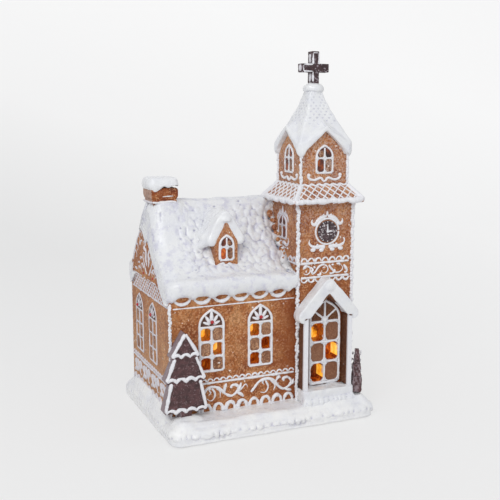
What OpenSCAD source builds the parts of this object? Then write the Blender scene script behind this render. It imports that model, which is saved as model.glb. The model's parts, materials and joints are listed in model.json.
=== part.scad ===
// A lit gingerbread church ornament: cast house shells, piped icing, a snow
// roof, a square bell tower and a battery light fitted from underneath.
// The origin is the middle of the underside. X runs right, Y back and Z up.

/* [Base] */
// Width of the snowy base
base_w = 190.8; // [185:0.2:205]
// Depth of the snowy base
base_d = 158; // [154:0.5:170]
// Radius of the base corners in plan
base_corner_r = 18; // [12:0.5:24]
// Height of the upright rim of the base
base_rim_h = 11; // [9:0.5:12]
// Height of the ground that the walls stand on
ground_z = 16; // [15:0.25:18]
// Inset of the ground line from the rim
base_bevel = 6; // [4:0.25:7]
// Thickness of the felt pads under the base
pad_t = 1.2; // [0.8:0.1:2]

/* [Nave] */
// Distance from the left edge of the base to the gable wall
nave_left_margin = 8.9; // [8:0.1:10]
// Distance from the front edge of the base to the front wall
nave_front_margin = 30.4; // [28:0.1:34]
// Distance from the right end of the nave to the right edge of the base
nave_right_margin = 13.8; // [13:0.1:16]
// Distance from the back wall to the back edge of the base
nave_back_margin = 10.9; // [10:0.1:14]
// Thickness of every cast wall
wall_t = 4; // [3:0.25:5]
// Height of the top of the front and back walls
nave_eave_z = 119.5; // [116:0.5:122]
// Height of the gable walls under the snow
nave_apex_z = 164; // [160:0.5:168]
// Height of the ridge of the snow
ridge_z = 190; // [186:0.5:194]
// Overhang of the snow past the front and back walls
eave_overhang = 7.4; // [6:0.1:9]
// Overhang of the snow past the gable walls
rake_overhang = 3; // [2:0.1:4]
// Radius of the rolled snow along the eaves
eave_roll_r = 6.5; // [5:0.1:7]

/* [Tower] */
// Width of each side of the square tower
tower_w = 53.3; // [50:0.1:56]
// Distance from the nave's right end to the tower's right side
tower_right_set = 0; // [0:0.1:4]
// How far the tower stands forward of the front wall
tower_forward = 4.1; // [3:0.1:6]
// Height of the top of the tower walls
tower_top_z = 191; // [186:0.5:196]
// Reach of the skirt roof past the tower wall
skirt_overhang = 6.7; // [5:0.1:8]
// Height of the skirt roof from the tower up to the belfry
skirt_h = 15.6; // [13:0.2:18]
// Width of each side of the belfry
belfry_w = 45.2; // [42:0.1:48]
// Radius of the round snow cap
cap_r = 9.2; // [8:0.1:10]
// Overall height to the tip of the cross
total_h = 320; // [314:0.5:326]

/* [Icing] */
// Width of a piped line
icing_w = 2.2; // [1.6:0.1:2.8]
// Height of piped icing above the wall
icing_t = 1.8; // [1.2:0.1:2.4]
// Distance between the rings under the eave
swag_pitch = 17.35; // [16.8:0.05:19]
// Outer radius of a ring under the eave
swag_r = 8; // [7:0.1:8.3]
// Distance between the small arcs on the sill line
scallop_pitch = 6; // [5.6:0.1:7]
// Distance between the horseshoes at the foot of the walls
horseshoe_pitch = 11.3; // [10.8:0.1:13]

/* [Porch] */
// Width across the outsides of the porch walls
porch_w = 47.6; // [45:0.1:49]
// How far the porch walls stand forward of the tower
porch_depth = 11.3; // [10:0.1:13]
// Height of the top of the step
step_z = 28; // [26:0.5:30]
// Width of the door frame
door_w = 32; // [30:0.1:34]
// Height of the tip of the door's pointed arch
door_apex_z = 106.6; // [103:0.2:108]

/* [Lighting] */
// Radius of a battery cell
cell_r = 7.15; // [6.9:0.05:7.25]
// Length of a battery cell
cell_l = 50; // [48:0.5:50.5]
// Number of battery cells
cell_count = 3; // [2:1:3]
// Radius of a light bulb
bulb_r = 2.5; // [2:0.1:3]
// Travel of the switch from off to timer to on
switch_travel = 4; // [3:0.5:5]

/* [Hidden] */
$fn = 48;

// Colours
gingerbread = "peru";
chocolate = "#4a3230";
snow = "whitesmoke";
icing = "white";
amber = "orange";

// One overrun serves every cut
overrun = 2;
// Gap between pieces that are glued or dropped in
seat_gap = 0.1;
// Gap round pieces that move
moving_gap = 0.3;
// Radial clearance of a pin in its bore
pin_clearance = 0.06;

// Base and nave places
base_x = base_w / 2;
base_y = base_d / 2;
nave_x0 = nave_left_margin - base_x;
nave_x1 = base_x - nave_right_margin;
nave_w = nave_x1 - nave_x0;
nave_y0 = nave_front_margin - base_y;
nave_y1 = base_y - nave_back_margin;
nave_d = nave_y1 - nave_y0;
ridge_y = (nave_y0 + nave_y1) / 2;
bank_h = 6.6;

// Roof profile, from the ridge down to the rolled eave
ridge_r = 8;
roof_pitch = 54;
arc_steps = 8;
slope_steps = 10;
valley_in = 17.6;
valley_rise = 2.7;
roof_skin = 8;
rake_drop = 5.5;
eave_roll_y = nave_y0 - eave_overhang + eave_roll_r;
eave_roll_z = nave_eave_z + eave_roll_r;

// Tower places
tower_half = tower_w / 2;
tower_x1 = nave_x1 - tower_right_set;
tower_x0 = tower_x1 - tower_w;
tower_y0 = nave_y0 - tower_forward;
tower_y1 = tower_y0 + tower_w;
tower_cx = (tower_x0 + tower_x1) / 2;
tower_cy = (tower_y0 + tower_y1) / 2;
skirt_half = tower_half + skirt_overhang;
belfry_half = belfry_w / 2;
belfry_foot_z = tower_top_z + skirt_h;
upper_h = total_h - belfry_foot_z;
belfry_eave_z = belfry_foot_z + upper_h * 0.2328;
belfry_apex_z = belfry_foot_z + upper_h * 0.4056;
cap_z = belfry_foot_z + upper_h * 0.678;
belfry_slope = (belfry_apex_z - belfry_eave_z) / belfry_half;
spire_overhang = 4.4;
spire_snow_t = 9.5;

// Shared bars and beads
bead_w = 3.5;
thin_w = 1.4;
glazing_t = 1;
berry_r = 1.6;

// Pointed windows of the nave: outer size and the grid of panes
window_w = 23.6;
window_h = 55.5;
window_spring_h = 41;
window_foot_z = 51;
pane_w = 9.1;
pane_h = 11;
pane_corner_r = 2.2;
pane_foot = 1.8;
pane_rise = 12.8;
pane_rows = 3;
gable_window_foot_z = 49.5;
front_window_xs = [nave_x0 + nave_w * 0.2165, nave_x0 + nave_w * 0.483];
gable_window_ys = [nave_y0 + nave_d * 0.42, nave_y0 + nave_d * 0.78];
back_window_count = 3;

// Bands of icing on the nave
eave_line_z = 108.5;
sill_z = 41.5;
scallop_h = 4.5;
vine_low_z = 24.5;
vine_high_z = 39.5;
horseshoe_h = 7;
lattice_low_z = 108.2;
lattice_high_z = 123;

// Tower windows and belfry windows
tower_window_w = 17.5;
tower_window_h = 23.5;
tower_window_drop = 34.3;
tower_window_foot_z = tower_top_z - tower_window_drop;
tower_window_back = 3.6;
tower_band_high_z = 138.7;
tower_band_low_z = 126;
tower_swag_h = 5;
tower_arc_count = 6;
belfry_window_h = upper_h * 0.224;
belfry_window_foot_z = belfry_foot_z + upper_h * 0.0785;
belfry_window_w = 17.3;
small_spring_share = 0.56;

// Clock
clock_x = tower_cx + tower_w * 0.026;
clock_drop = 25.1;
clock_z = tower_top_z - clock_drop;
clock_r = 11.1;
clock_rim_w = 1.7;
clock_rim_t = 2.4;
dial_t = 1;
hand_w = 1.2;
hand_t = 0.6;

// Dormer
dormer_x0 = nave_x0 + nave_w * 0.268;
dormer_w = 20.5;
dormer_y0 = nave_y0 + nave_d * 0.134;
dormer_foot_z = 141;
dormer_eave_z = 158.8;
dormer_apex_z = 175;
dormer_window_w = 14.1;
dormer_window_h = 21.6;
dormer_roof_reach = 36;
dormer_snow_t = 8;
dormer_snow_over = 5;
dormer_window_lift = 4;

// Chimney
chimney_x0 = nave_x0 + 0.4 * wall_t;
chimney_w = 20.6;
chimney_d = 22;
chimney_foot_z = 176;
chimney_line_z = 191;
chimney_top_z = 204;
chimney_snow_top_z = 213;
chimney_flare = 1.6;
chimney_line_t = 2.2;
chimney_cap_over = 3.5;
chimney_cap_r = 5.4;

// Porch
porch_cx = tower_cx - tower_w * 0.035;
porch_wall_t = 5;
porch_y0 = tower_y0 - porch_depth;
porch_apex_z = 113.3;
porch_wall_top_z = 93;
porch_snow_r = 5.6;
pillar_w = 4.2;
door_x = tower_cx - tower_w * 0.004;
door_t = 3.3;
door_bar = 2.4;
door_foot_z = step_z;
door_spring_z = 90;
door_pane_w = 12;
door_pane_h = 15.6;
door_pane_rise = 18.4;
door_pane_foot = 3.9;
step_front = 15.2;
step_side = 1.5;
step_corner_r = 4;

// Trees
tree_in = 8.2;
tree_x = nave_x0 + tree_in;
tree_t = 10;
tree_y = nave_y0 - icing_t - moving_gap - tree_t / 2;
tree_h = 75.2;
tree_w = 34;
tree_tiers = 3;
tree_peaks = 3;
tree_peak_share = 0.07;
small_tree_h = 42;
small_tree_w = 19;
small_tree_t = 7;
small_tree_out = 5.1;
small_tree_forward = 4;
small_tree_x = tower_x1 + small_tree_out;
small_tree_y = tower_y0 - small_tree_forward;
small_tree_turn = 64;

// Underside and battery bay
cover_t = 3;
cover_inset = 11;
cover_z = pad_t;
cover_top_z = cover_z + cover_t;
tray_wall = 2;
tray_x = nave_x0 + nave_w * 0.36;
tray_y = nave_y0 + nave_d * 0.36;
cell_gap = 0.4;
contact_t = 0.5;
contact_room = 4;
tray_in_x = cell_l + 2 * contact_room;
tray_in_y = cell_count * (2 * cell_r + cell_gap) + cell_gap;
door_plate_t = 2.4;
cell_lift = 0.4;
tray_in_top_z = cover_z + door_plate_t + cell_lift + 2 * cell_r + cell_gap;
tray_flange = 3;
tray_flange_t = 1.5;
tray_y1 = tray_y + tray_in_y / 2;
tray_y0 = tray_y - tray_in_y / 2;
hinge_pin_r = 0.8;
hinge_pin_reach = 1.5;
hinge_y = tray_y1 - door_plate_t / 2 - moving_gap;
hinge_z = cover_z + door_plate_t / 2;
latch_h = 5;
latch_t = 1.4;
latch_w = 9;
door_reach = hinge_y - tray_y0;
latch_gap = sqrt(pow(door_reach, 2) + pow(latch_h, 2)) - door_reach + moving_gap;

// Switch, board, light posts and wires
switch_l = 16;
switch_d = 9;
switch_h = 6;
switch_right = 5;
switch_x = tray_x + switch_right;
switch_y = tray_y1 + tray_wall + tray_flange + seat_gap + switch_d / 2;
switch_wall = 1.2;
knob_l = 3.4;
knob_w = 3;
knob_recess = 0.5;
slide_t = 1.6;
board_w = 26;
board_d = 16;
board_t = 1.6;
board_x = nave_x0 + nave_w * 0.1637;
board_y = switch_y + switch_d / 2 + board_d / 2;
board_leg_h = 3;
chip_w = 7;
chip_h = 2.2;
post_foot_r = 7;
post_foot_t = 2;
post_r = 2.6;
post_height = 60;
post_xs = [nave_x0 + nave_w * 0.52, tower_cx];
post_ys = [board_y + board_d * 0.2, tower_cy];
bulb_flange_r = 3.1;
bulb_flange_t = 1;
bulb_body_h = 4.4;
wire_r = 0.8;
wire_z = cover_top_z + wire_r + seat_gap;
wire_duct = 6;
duct_h = 5;
screw_r = 1.4;
screw_head_r = 2.9;
screw_head_t = 1.6;
screw_l = 9;
screw_inset = 6;
cover_corner_r = 10;
plinth_ledge = 12;

// Outline of a rounded rectangle about the origin
module rounded_rect(w, d, r) {
    square([w - 2 * r, d], center = true);
    square([w, d - 2 * r], center = true);
    for (sx = [-1, 1], sy = [-1, 1])
        translate([sx * (w / 2 - r), sy * (d / 2 - r)]) circle(r);
}

// Pointed arch that stands on the origin, w wide, h high, straight up to spring
module pointed_arch(w, h, spring) {
    rise = h - spring;
    arc_r = (pow(rise, 2) + pow(w / 2, 2)) / w;
    translate([-w / 2, 0]) square([w, spring]);
    intersection() {
        translate([arc_r - w / 2, spring]) circle(arc_r, $fn = 96);
        translate([w / 2 - arc_r, spring]) circle(arc_r, $fn = 96);
        translate([-w / 2, spring]) square([w, rise + overrun]);
    }
}

// Ring between two radii, cut to the upper or lower half
module half_ring(r, w, up = true) {
    intersection() {
        difference() {
            circle(r);
            circle(r - w);
        }
        translate([-r, up ? 0 : -r]) square([2 * r, r]);
    }
}

// Places for a drawing with u to the right and v up, as someone sees each wall
module on_front(y) translate([0, y, 0]) rotate([90, 0, 0]) children();
module on_back(y) translate([0, y, 0]) rotate([90, 0, 180]) children();
module on_left(x) translate([x, 0, 0]) rotate([90, 0, -90]) children();

// One of the four faces of a square tower, drawn about its centre line
module on_tower_face(k, half) {
    translate([tower_cx, tower_cy, 0]) rotate([0, 0, 90 * k])
        translate([0, -half, 0]) rotate([90, 0, 0]) children();
}

// Outline of a stroke of tapering width along a list of points
function step_dir(p, i) =
    let (a = p[max(i - 1, 0)], b = p[min(i + 1, len(p) - 1)], d = b - a)
    d / norm(d);
function stroke_side(p, w0, w1, s) = [
    for (i = [0 : len(p) - 1])
        let (d = step_dir(p, i), w = w0 + (w1 - w0) * i / (len(p) - 1))
        p[i] + s * w / 2 * [-d.y, d.x]
];
function reversed(p) = [for (i = [len(p) - 1 : -1 : 0]) p[i]];
module stroke(p, w0, w1) {
    polygon(concat(stroke_side(p, w0, w1, 1), reversed(stroke_side(p, w0, w1, -1))));
}

// Strokes from a table of shares: start width, end width and the points of the line
function cut_corners(p) = concat([p[0]],
    [for (i = [0 : len(p) - 2], t = [0.25, 0.75]) p[i] * (1 - t) + p[i + 1] * t], [p[len(p) - 1]]);
module strokes(table, unit, w) {
    for (row = table) stroke(cut_corners(unit * row[2]), w * row[0], w * row[1]);
}
// Five short flames that fan out of an arch or a dial
module flames(r0, r1, w) {
    for (a = [58 : 16 : 122]) rotate(a) stroke([[r0, 0], [r1, 0]], w, w * 0.3);
}

// Scroll that starts at the origin, runs out level and curls in
curl_turns = 1.15;
curl_steps = 20;
curl_close_share = 0.72;
function curl_points(r) = [
    for (i = [0 : curl_steps])
        let (t = i / curl_steps, a = -90 + 360 * curl_turns * t, q = r * (1 - curl_close_share * t))
        [q * cos(a), r + q * sin(a)]
];
module curl(r, w) {
    stroke(curl_points(r), w, w * 0.6);
}

// Two curls that face each other on a short stem, like a moustache
module scroll_pair(span, r, w) {
    for (m = [0, 1]) mirror([m, 0]) {
        translate([span / 2 - r, 0]) curl(r, w);
        translate([0, -w / 2]) square([span / 2 - r, w]);
    }
    circle(w * 0.9);
}

// Roof of the nave, seen along its length: u is y and v is z
function mirrored(p) = [2 * ridge_y - p.x, p.y];
function both_sides(front) = concat(front, reversed([for (p = front) mirrored(p)]));
function arc_points(c, r, a0, a1) = [
    for (i = [0 : arc_steps]) let (a = a0 + (a1 - a0) * i / arc_steps) c + r * [cos(a), sin(a)]
];
function bend(a, b, c) = [
    for (i = [1 : slope_steps - 1])
        let (t = i / slope_steps) (1 - t) * (1 - t) * a + 2 * t * (1 - t) * b + t * t * c
];

// Rounded slab of snow bent over a gable, about the centre line
function chevron(half, eave_z, apex_z, r) =
    let (a = atan2(apex_z - eave_z, half),
         low_arc = arc_points([-half, eave_z], r, a + 270, a + 90),
         side = concat(low_arc, arc_points([0, apex_z], r, a + 90, 90)))
    concat(side, reversed([for (p = side) [-p.x, p.y]]), [[0, apex_z - r / cos(a)]]);

// Outer face of the snow, from the front eave over the ridge to the back eave
eave_top = [eave_roll_y, eave_roll_z + eave_roll_r];
ridge_centre = [ridge_y, ridge_z - ridge_r];
ridge_start = ridge_centre + ridge_r * [-sin(roof_pitch), cos(roof_pitch)];
slope_foot = [ridge_start.x - (ridge_start.y - eave_top.y) / tan(roof_pitch), eave_top.y];
snow_face = both_sides(concat(
    arc_points([eave_roll_y, eave_roll_z], eave_roll_r, 270, 90),
    bend(eave_top, slope_foot, ridge_start),
    arc_points(ridge_centre, ridge_r, 90 + roof_pitch, 90)));

// Top of the walls under the snow, and the inside of the shells
wall_top = both_sides([
    [nave_y0, nave_eave_z],
    [nave_y0 + valley_in, nave_eave_z + valley_rise],
    [ridge_y, nave_apex_z]]);
cavity_face = both_sides([
    [nave_y0 + wall_t, ground_z],
    [nave_y0 + wall_t, nave_eave_z],
    [nave_y0 + valley_in + wall_t / 2, nave_eave_z + valley_rise + wall_t],
    [ridge_y, ridge_z - ridge_r - roof_skin]]);

// Lower edge of the snow lip over the gable: shares of the half depth and height
rake_low_share = [[0, 0], [0.1, 0], [0.42, 0.235], [0.75, 0.54], [0.97, 0.86], [1, 0.9]];
rake_foot = [eave_roll_y, nave_eave_z - rake_drop];
rake_low = both_sides([
    for (p = rake_low_share)
        [rake_foot.x + p[0] * (ridge_y - rake_foot.x), rake_foot.y + p[1] * (nave_apex_z - rake_foot.y)]
]);

module snow_profile() {
    polygon(concat(snow_face, reversed(wall_top)));
}
module under_snow() {
    polygon(concat([[nave_y0, 0]], wall_top, [[nave_y1, 0]]));
}
// Everything below the face of the snow, for cutting what stands on it
module roof_block() {
    along_x(nave_x0 - rake_overhang, nave_x1 + rake_overhang)
        polygon(concat([[eave_roll_y, 0]], snow_face, [mirrored([eave_roll_y, 0])]));
}

// A profile drawn in y and z, run along x
module along_x(x0, x1) {
    translate([x0, 0, 0]) rotate([90, 0, 90]) linear_extrude(x1 - x0) children();
}

// The block that the tower takes out of the nave
module tower_block(grow) {
    translate([tower_x0 - grow, -base_y - overrun, 0])
        cube([base_x - tower_x0 + grow + overrun, tower_y1 + base_y + grow + overrun, total_h]);
}

// Rounded pane and the grid of lit panes: top left, middle right, bottom left
module pane(w, h, r) {
    translate([0, h / 2]) rounded_rect(w, h, r);
}
function is_lit(row, col) = (row + col) % 2 == 0;
module lit_panes(rows) {
    for (row = [0 : rows - 1], col = [0, 1]) if (is_lit(row, col))
        translate([(col * 2 - 1) * (pane_w + icing_w) / 2, pane_foot + row * pane_rise])
            pane(pane_w, pane_h, pane_corner_r);
}

// Small two by two window: outline, bars and the open panes
module small_lit_pane(w, h) {
    bar = thin_w;
    inner_w = (w - 3 * bar) / 2;
    low_h = h * small_spring_share - 1.5 * bar;
    translate([-(inner_w + bar) / 2, bar]) pane(inner_w, low_h, pane_corner_r / 2);
}
module small_window(w, h) {
    difference() {
        pointed_arch(w, h, h * small_spring_share);
        translate([0, thin_w]) pointed_arch(w - 2 * thin_w, h - 2 * thin_w, h * small_spring_share - thin_w);
    }
    translate([-thin_w / 2, thin_w / 2]) square([thin_w, h - thin_w * 1.5]);
    translate([-w / 2 + thin_w / 2, h * small_spring_share - thin_w])
        square([w - thin_w, thin_w]);
}

// Large window: outline, sash bars and the piped fan in its head
fan_angles = [30, 62, 90, 118, 150];
module large_window(w, h, spring, rows, rise, bar) {
    difference() {
        pointed_arch(w, h, spring);
        translate([0, bar]) pointed_arch(w - 2 * bar, h - 2 * bar, spring - bar);
    }
    translate([-bar / 2, bar / 2]) square([bar, spring - bar / 2]);
    for (row = [1 : rows])
        translate([-w / 2 + bar / 2, row * rise + pane_foot - bar]) square([w - bar, bar]);
    intersection() {
        translate([0, bar / 2]) pointed_arch(w - bar, h - bar, spring - bar / 2);
        translate([0, rows * rise + pane_foot]) union() {
            for (a = fan_angles) rotate(a) translate([0, -thin_w / 2]) square([w, thin_w]);
            half_ring(w * 0.26, thin_w);
        }
    }
}

// Row of arcs that stand on a line or hang from it, between two ends
module arc_row(u0, u1, pitch, h, w, up) {
    count = max(1, floor((u1 - u0) / pitch));
    first = (u0 + u1) / 2 - (count - 1) * pitch / 2;
    for (i = [0 : count - 1]) translate([first + i * pitch, 0])
        half_ring(min(h, pitch / 2), w, up);
}
module piped_line(u0, u1, v, w) {
    translate([u0, v - w / 2]) square([u1 - u0, w]);
}

// Base and underside
module base_outline(inset) {
    rounded_rect(base_w - 2 * inset, base_d - 2 * inset, base_corner_r - inset);
}
module nave_plan(inset) {
    difference() {
        translate([nave_x0 + inset, nave_y0 + inset])
            square([nave_w - 2 * inset, nave_d - 2 * inset]);
        translate([tower_x0 - inset, tower_y0 - overrun])
            square([tower_w + inset + overrun, tower_w + inset + overrun]);
    }
}
module tower_plan(inset) {
    translate([tower_x0 + inset, tower_y0 + inset])
        square([tower_w - 2 * inset, tower_w - 2 * inset]);
}
module cover_outline(gap) {
    rounded_rect(base_w - 2 * cover_inset + 2 * gap, base_d - 2 * cover_inset + 2 * gap, cover_corner_r);
}
module cover_screw_places() {
    for (sx = [-1, 1], sy = [-1, 1])
        translate([sx * (base_x - cover_inset - screw_inset), sy * (base_y - cover_inset - screw_inset), 0])
            children();
}

module base_plinth() color(snow) difference() {
    union() {
        hull() {
            translate([0, 0, pad_t]) linear_extrude(base_rim_h - pad_t) base_outline(0);
            translate([0, 0, pad_t]) linear_extrude(ground_z - pad_t) base_outline(base_bevel);
        }
        // Snow banked up against the gable wall
        translate([0, nave_y1 - base_corner_r / 2, 0]) rotate([90, 0, 0])
            linear_extrude(nave_d - base_corner_r * 0.7)
            polygon([[nave_x0 - base_bevel * 0.9, base_rim_h],
                     [nave_x0 - base_bevel * 0.5, ground_z + bank_h * 0.6],
                     [nave_x0, ground_z + bank_h], [nave_x0, base_rim_h]]);
    }
    translate([0, 0, pad_t - overrun]) linear_extrude(cover_t + seat_gap + overrun) cover_outline(seat_gap);
    translate([0, 0, pad_t]) linear_extrude(ground_z + overrun) nave_plan(plinth_ledge);
    translate([0, 0, pad_t]) linear_extrude(ground_z + overrun) tower_plan(plinth_ledge);
    // Duct for the wire that crosses to the tower
    translate([tower_cx - wire_duct / 2, tower_y1 - plinth_ledge - overrun, pad_t])
        cube([wire_duct, 2 * (plinth_ledge + overrun), cover_t + duct_h]);
    cover_screw_places() translate([0, 0, pad_t])
        cylinder(r = screw_r + seat_gap / 2, h = screw_l + seat_gap);
}

module base_pads() color("#5a504c") {
    for (sx = [-1, 1], sy = [-1, 1])
        translate([sx * (base_x - base_corner_r / 2 - pad_t), sy * (base_y - base_corner_r / 2 - pad_t), 0])
            cylinder(r = base_corner_r * 0.28, h = pad_t);
}

module tray_outer(gap) {
    translate([tray_x, tray_y])
        square([tray_in_x + 2 * tray_wall + 2 * gap, tray_in_y + 2 * tray_wall + 2 * gap], center = true);
}

module base_cover() color("#3a3a3c") difference() {
    translate([0, 0, cover_z]) linear_extrude(cover_t) cover_outline(0);
    translate([0, 0, cover_z - overrun]) linear_extrude(cover_t + 2 * overrun) tray_outer(seat_gap);
    // Slot for the switch knob and a countersink for each screw
    translate([switch_x, switch_y, cover_z - overrun]) linear_extrude(cover_t + 2 * overrun)
        rounded_rect(knob_l + 2 * moving_gap + switch_travel, knob_w + 2 * moving_gap, knob_w / 2);
    cover_screw_places() {
        translate([0, 0, cover_z - overrun]) cylinder(r = screw_r + moving_gap, h = cover_t + 2 * overrun);
        translate([0, 0, cover_z - overrun])
            cylinder(r = screw_head_r + seat_gap, h = screw_head_t + overrun);
    }
}

module cover_screws() color("silver") cover_screw_places() difference() {
    union() {
        translate([0, 0, cover_z]) cylinder(r = screw_head_r, h = screw_head_t);
        translate([0, 0, cover_z]) cylinder(r = screw_r, h = screw_l);
    }
    for (a = [0, 90]) rotate([0, 0, a]) translate([0, 0, cover_z])
        cube([screw_head_r * 1.2, screw_r * 0.5, screw_head_t], center = true);
}

module battery_tray() color("#2e2e30") difference() {
    union() {
        translate([0, 0, cover_z]) linear_extrude(tray_in_top_z + tray_wall - cover_z) tray_outer(0);
        translate([0, 0, cover_top_z]) linear_extrude(tray_flange_t) tray_outer(tray_flange);
    }
    translate([tray_x, tray_y, cover_z - overrun]) linear_extrude(tray_in_top_z - cover_z + overrun)
        square([tray_in_x, tray_in_y], center = true);
    for (s = [-1, 1]) translate([tray_x + s * tray_in_x / 2, hinge_y, hinge_z]) rotate([0, 90, 0])
        cylinder(r = hinge_pin_r + pin_clearance, h = 2 * (hinge_pin_reach + moving_gap), center = true);
}

module battery_door() color("#2e2e30") {
    plate_w = tray_in_x - 2 * moving_gap;
    translate([tray_x - plate_w / 2, tray_y0 + latch_gap, cover_z])
        difference() {
            cube([plate_w, hinge_y - tray_y0 - latch_gap, door_plate_t]);
            translate([plate_w / 2, 0, 0]) cylinder(r = latch_w * 0.7, h = door_plate_t, center = true);
        }
    translate([tray_x - plate_w / 2, hinge_y, hinge_z]) rotate([0, 90, 0])
        cylinder(r = door_plate_t / 2, h = plate_w);
    translate([tray_x - plate_w / 2 - hinge_pin_reach, hinge_y, hinge_z]) rotate([0, 90, 0])
        cylinder(r = hinge_pin_r, h = plate_w + 2 * hinge_pin_reach);
    for (s = [-1, 1])
        translate([tray_x + s * (plate_w / 2 - latch_w) - latch_w / 2, tray_y0 + latch_gap, cover_z])
            cube([latch_w, latch_t, latch_h]);
}

// Cells lie side by side and point in turn to the right and to the left
cell_z = cover_z + door_plate_t + cell_lift + cell_r;
function cell_y(i) = tray_y0 + cell_gap + cell_r + i * (2 * cell_r + cell_gap);
module battery_cells() color("#c07030") for (i = [0 : cell_count - 1])
    translate([tray_x, cell_y(i), cell_z]) rotate([0, i % 2 == 0 ? 90 : -90, 0])
        translate([0, 0, -cell_l / 2]) {
            cylinder(r = cell_r, h = cell_l - cell_r * 0.2);
            cylinder(r = cell_r * 0.38, h = cell_l);
        }

module battery_contacts() color("silver") {
    leaf_reach = contact_room - moving_gap;
    for (i = [0 : cell_count - 1], s = [-1, 1])
        translate([tray_x + s * tray_in_x / 2, cell_y(i), cell_z]) rotate([0, 0, s > 0 ? 180 : 0]) {
            translate([seat_gap, -cell_r * 0.8, -cell_r * 0.8])
                cube([contact_t, cell_r * 1.6, cell_r * 1.6]);
            translate([seat_gap, cell_r * 0.25, 0]) rotate([90, 0, 0]) linear_extrude(cell_r * 0.5)
                polygon([[contact_t, -cell_r * 0.7], [leaf_reach, 0], [contact_t, cell_r * 0.7],
                         [contact_t, cell_r * 0.5], [leaf_reach - contact_t * 1.4, 0],
                         [contact_t, -cell_r * 0.5]]);
        }
}

module switch_housing() color("#f0f0f0") difference() {
    translate([switch_x - switch_l / 2, switch_y - switch_d / 2, cover_top_z])
        cube([switch_l, switch_d, switch_h]);
    translate([switch_x - switch_l / 2 + switch_wall, switch_y - switch_d / 2 + switch_wall,
               cover_top_z - overrun])
        cube([switch_l - 2 * switch_wall, switch_d - 2 * switch_wall, switch_h - switch_wall + overrun]);
}

// The slider rests at the off end and slides towards the on end
module switch_slider() color("#d8d8d8") {
    slide_l = switch_l - 2 * switch_wall - switch_travel - 2 * moving_gap;
    slide_x = switch_x - switch_l / 2 + switch_wall + moving_gap;
    translate([slide_x, switch_y - switch_d / 2 + switch_wall + moving_gap, cover_top_z + moving_gap])
        cube([slide_l, switch_d - 2 * switch_wall - 2 * moving_gap, slide_t]);
    translate([switch_x - switch_travel / 2, switch_y, cover_z + knob_recess])
        linear_extrude(cover_t + moving_gap + slide_t - knob_recess)
        rounded_rect(knob_l, knob_w, knob_w * 0.4);
}

module timer_board() color("seagreen") {
    translate([board_x - board_w / 2, board_y - board_d / 2, cover_top_z + board_leg_h])
        cube([board_w, board_d, board_t]);
    for (sx = [-1, 1], sy = [-1, 1])
        translate([board_x + sx * (board_w / 2 - board_t * 1.5),
                   board_y + sy * (board_d / 2 - board_t * 1.5), cover_top_z])
            cylinder(r = board_t, h = board_leg_h + board_t);
    translate([board_x - chip_w / 2, board_y - chip_w / 2, cover_top_z + board_leg_h])
        cube([chip_w, chip_w, board_t + chip_h]);
}

module light_posts() color("#e8e8e8") for (i = [0, 1])
    translate([post_xs[i], post_ys[i], cover_top_z]) difference() {
        union() {
            cylinder(r = post_foot_r, h = post_foot_t);
            cylinder(r = post_r, h = post_height);
            translate([0, 0, post_height - bulb_flange_r])
                cylinder(r = bulb_flange_r + post_foot_t / 2, h = bulb_flange_r);
        }
        translate([0, 0, post_height - bulb_body_h / 2])
            cylinder(r = bulb_r * 0.6 + seat_gap, h = bulb_body_h);
    }

module light_bulbs() color("moccasin") for (i = [0, 1])
    translate([post_xs[i], post_ys[i], cover_top_z + post_height]) {
        translate([0, 0, -bulb_body_h / 2 + seat_gap]) cylinder(r = bulb_r * 0.6, h = bulb_body_h);
        cylinder(r = bulb_flange_r, h = bulb_flange_t);
        cylinder(r = bulb_r, h = bulb_body_h);
        translate([0, 0, bulb_body_h]) sphere(bulb_r);
    }

// Wires laid on the cover: one straight to the nave's post, one round to the tower's
module wire_along_x(x0, x1, y) {
    translate([x0, y, wire_z]) rotate([0, 90, 0]) cylinder(r = wire_r, h = x1 - x0, $fn = 8);
}
module wire_along_y(x, y0, y1) {
    translate([x, y0, wire_z]) rotate([-90, 0, 0]) cylinder(r = wire_r, h = y1 - y0, $fn = 8);
}
module light_wires() color("firebrick") {
    start_x = board_x + board_w / 2 + moving_gap;
    tower_wire_y = board_y - board_d * 0.3;
    wire_along_x(start_x, post_xs[0] - post_foot_r - moving_gap, post_ys[0]);
    wire_along_x(start_x, post_xs[1] + wire_r, tower_wire_y);
    wire_along_y(post_xs[1], post_ys[1] + post_foot_r + moving_gap, tower_wire_y + wire_r);
}

// Nave
module nave_walls() color(gingerbread) difference() {
    intersection() {
        translate([0, 0, ground_z]) linear_extrude(nave_apex_z) nave_plan(0);
        along_x(nave_x0 - overrun, nave_x1 + overrun) under_snow();
    }
    translate([0, 0, ground_z - overrun]) linear_extrude(nave_apex_z + 2 * overrun) nave_plan(wall_t);
    for (x = front_window_xs) on_front(nave_y0 + wall_t + overrun) translate([x, window_foot_z])
        linear_extrude(wall_t + 2 * overrun) lit_panes(pane_rows);
    for (y = gable_window_ys) on_left(nave_x0 + wall_t + overrun) translate([-y, gable_window_foot_z])
        linear_extrude(wall_t + 2 * overrun) lit_panes(pane_rows);
    for (i = [1 : back_window_count]) on_back(nave_y1 - wall_t - overrun)
        translate([-nave_x0 - i * nave_w / (back_window_count + 1), window_foot_z])
        linear_extrude(wall_t + 2 * overrun) lit_panes(pane_rows);
}

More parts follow.
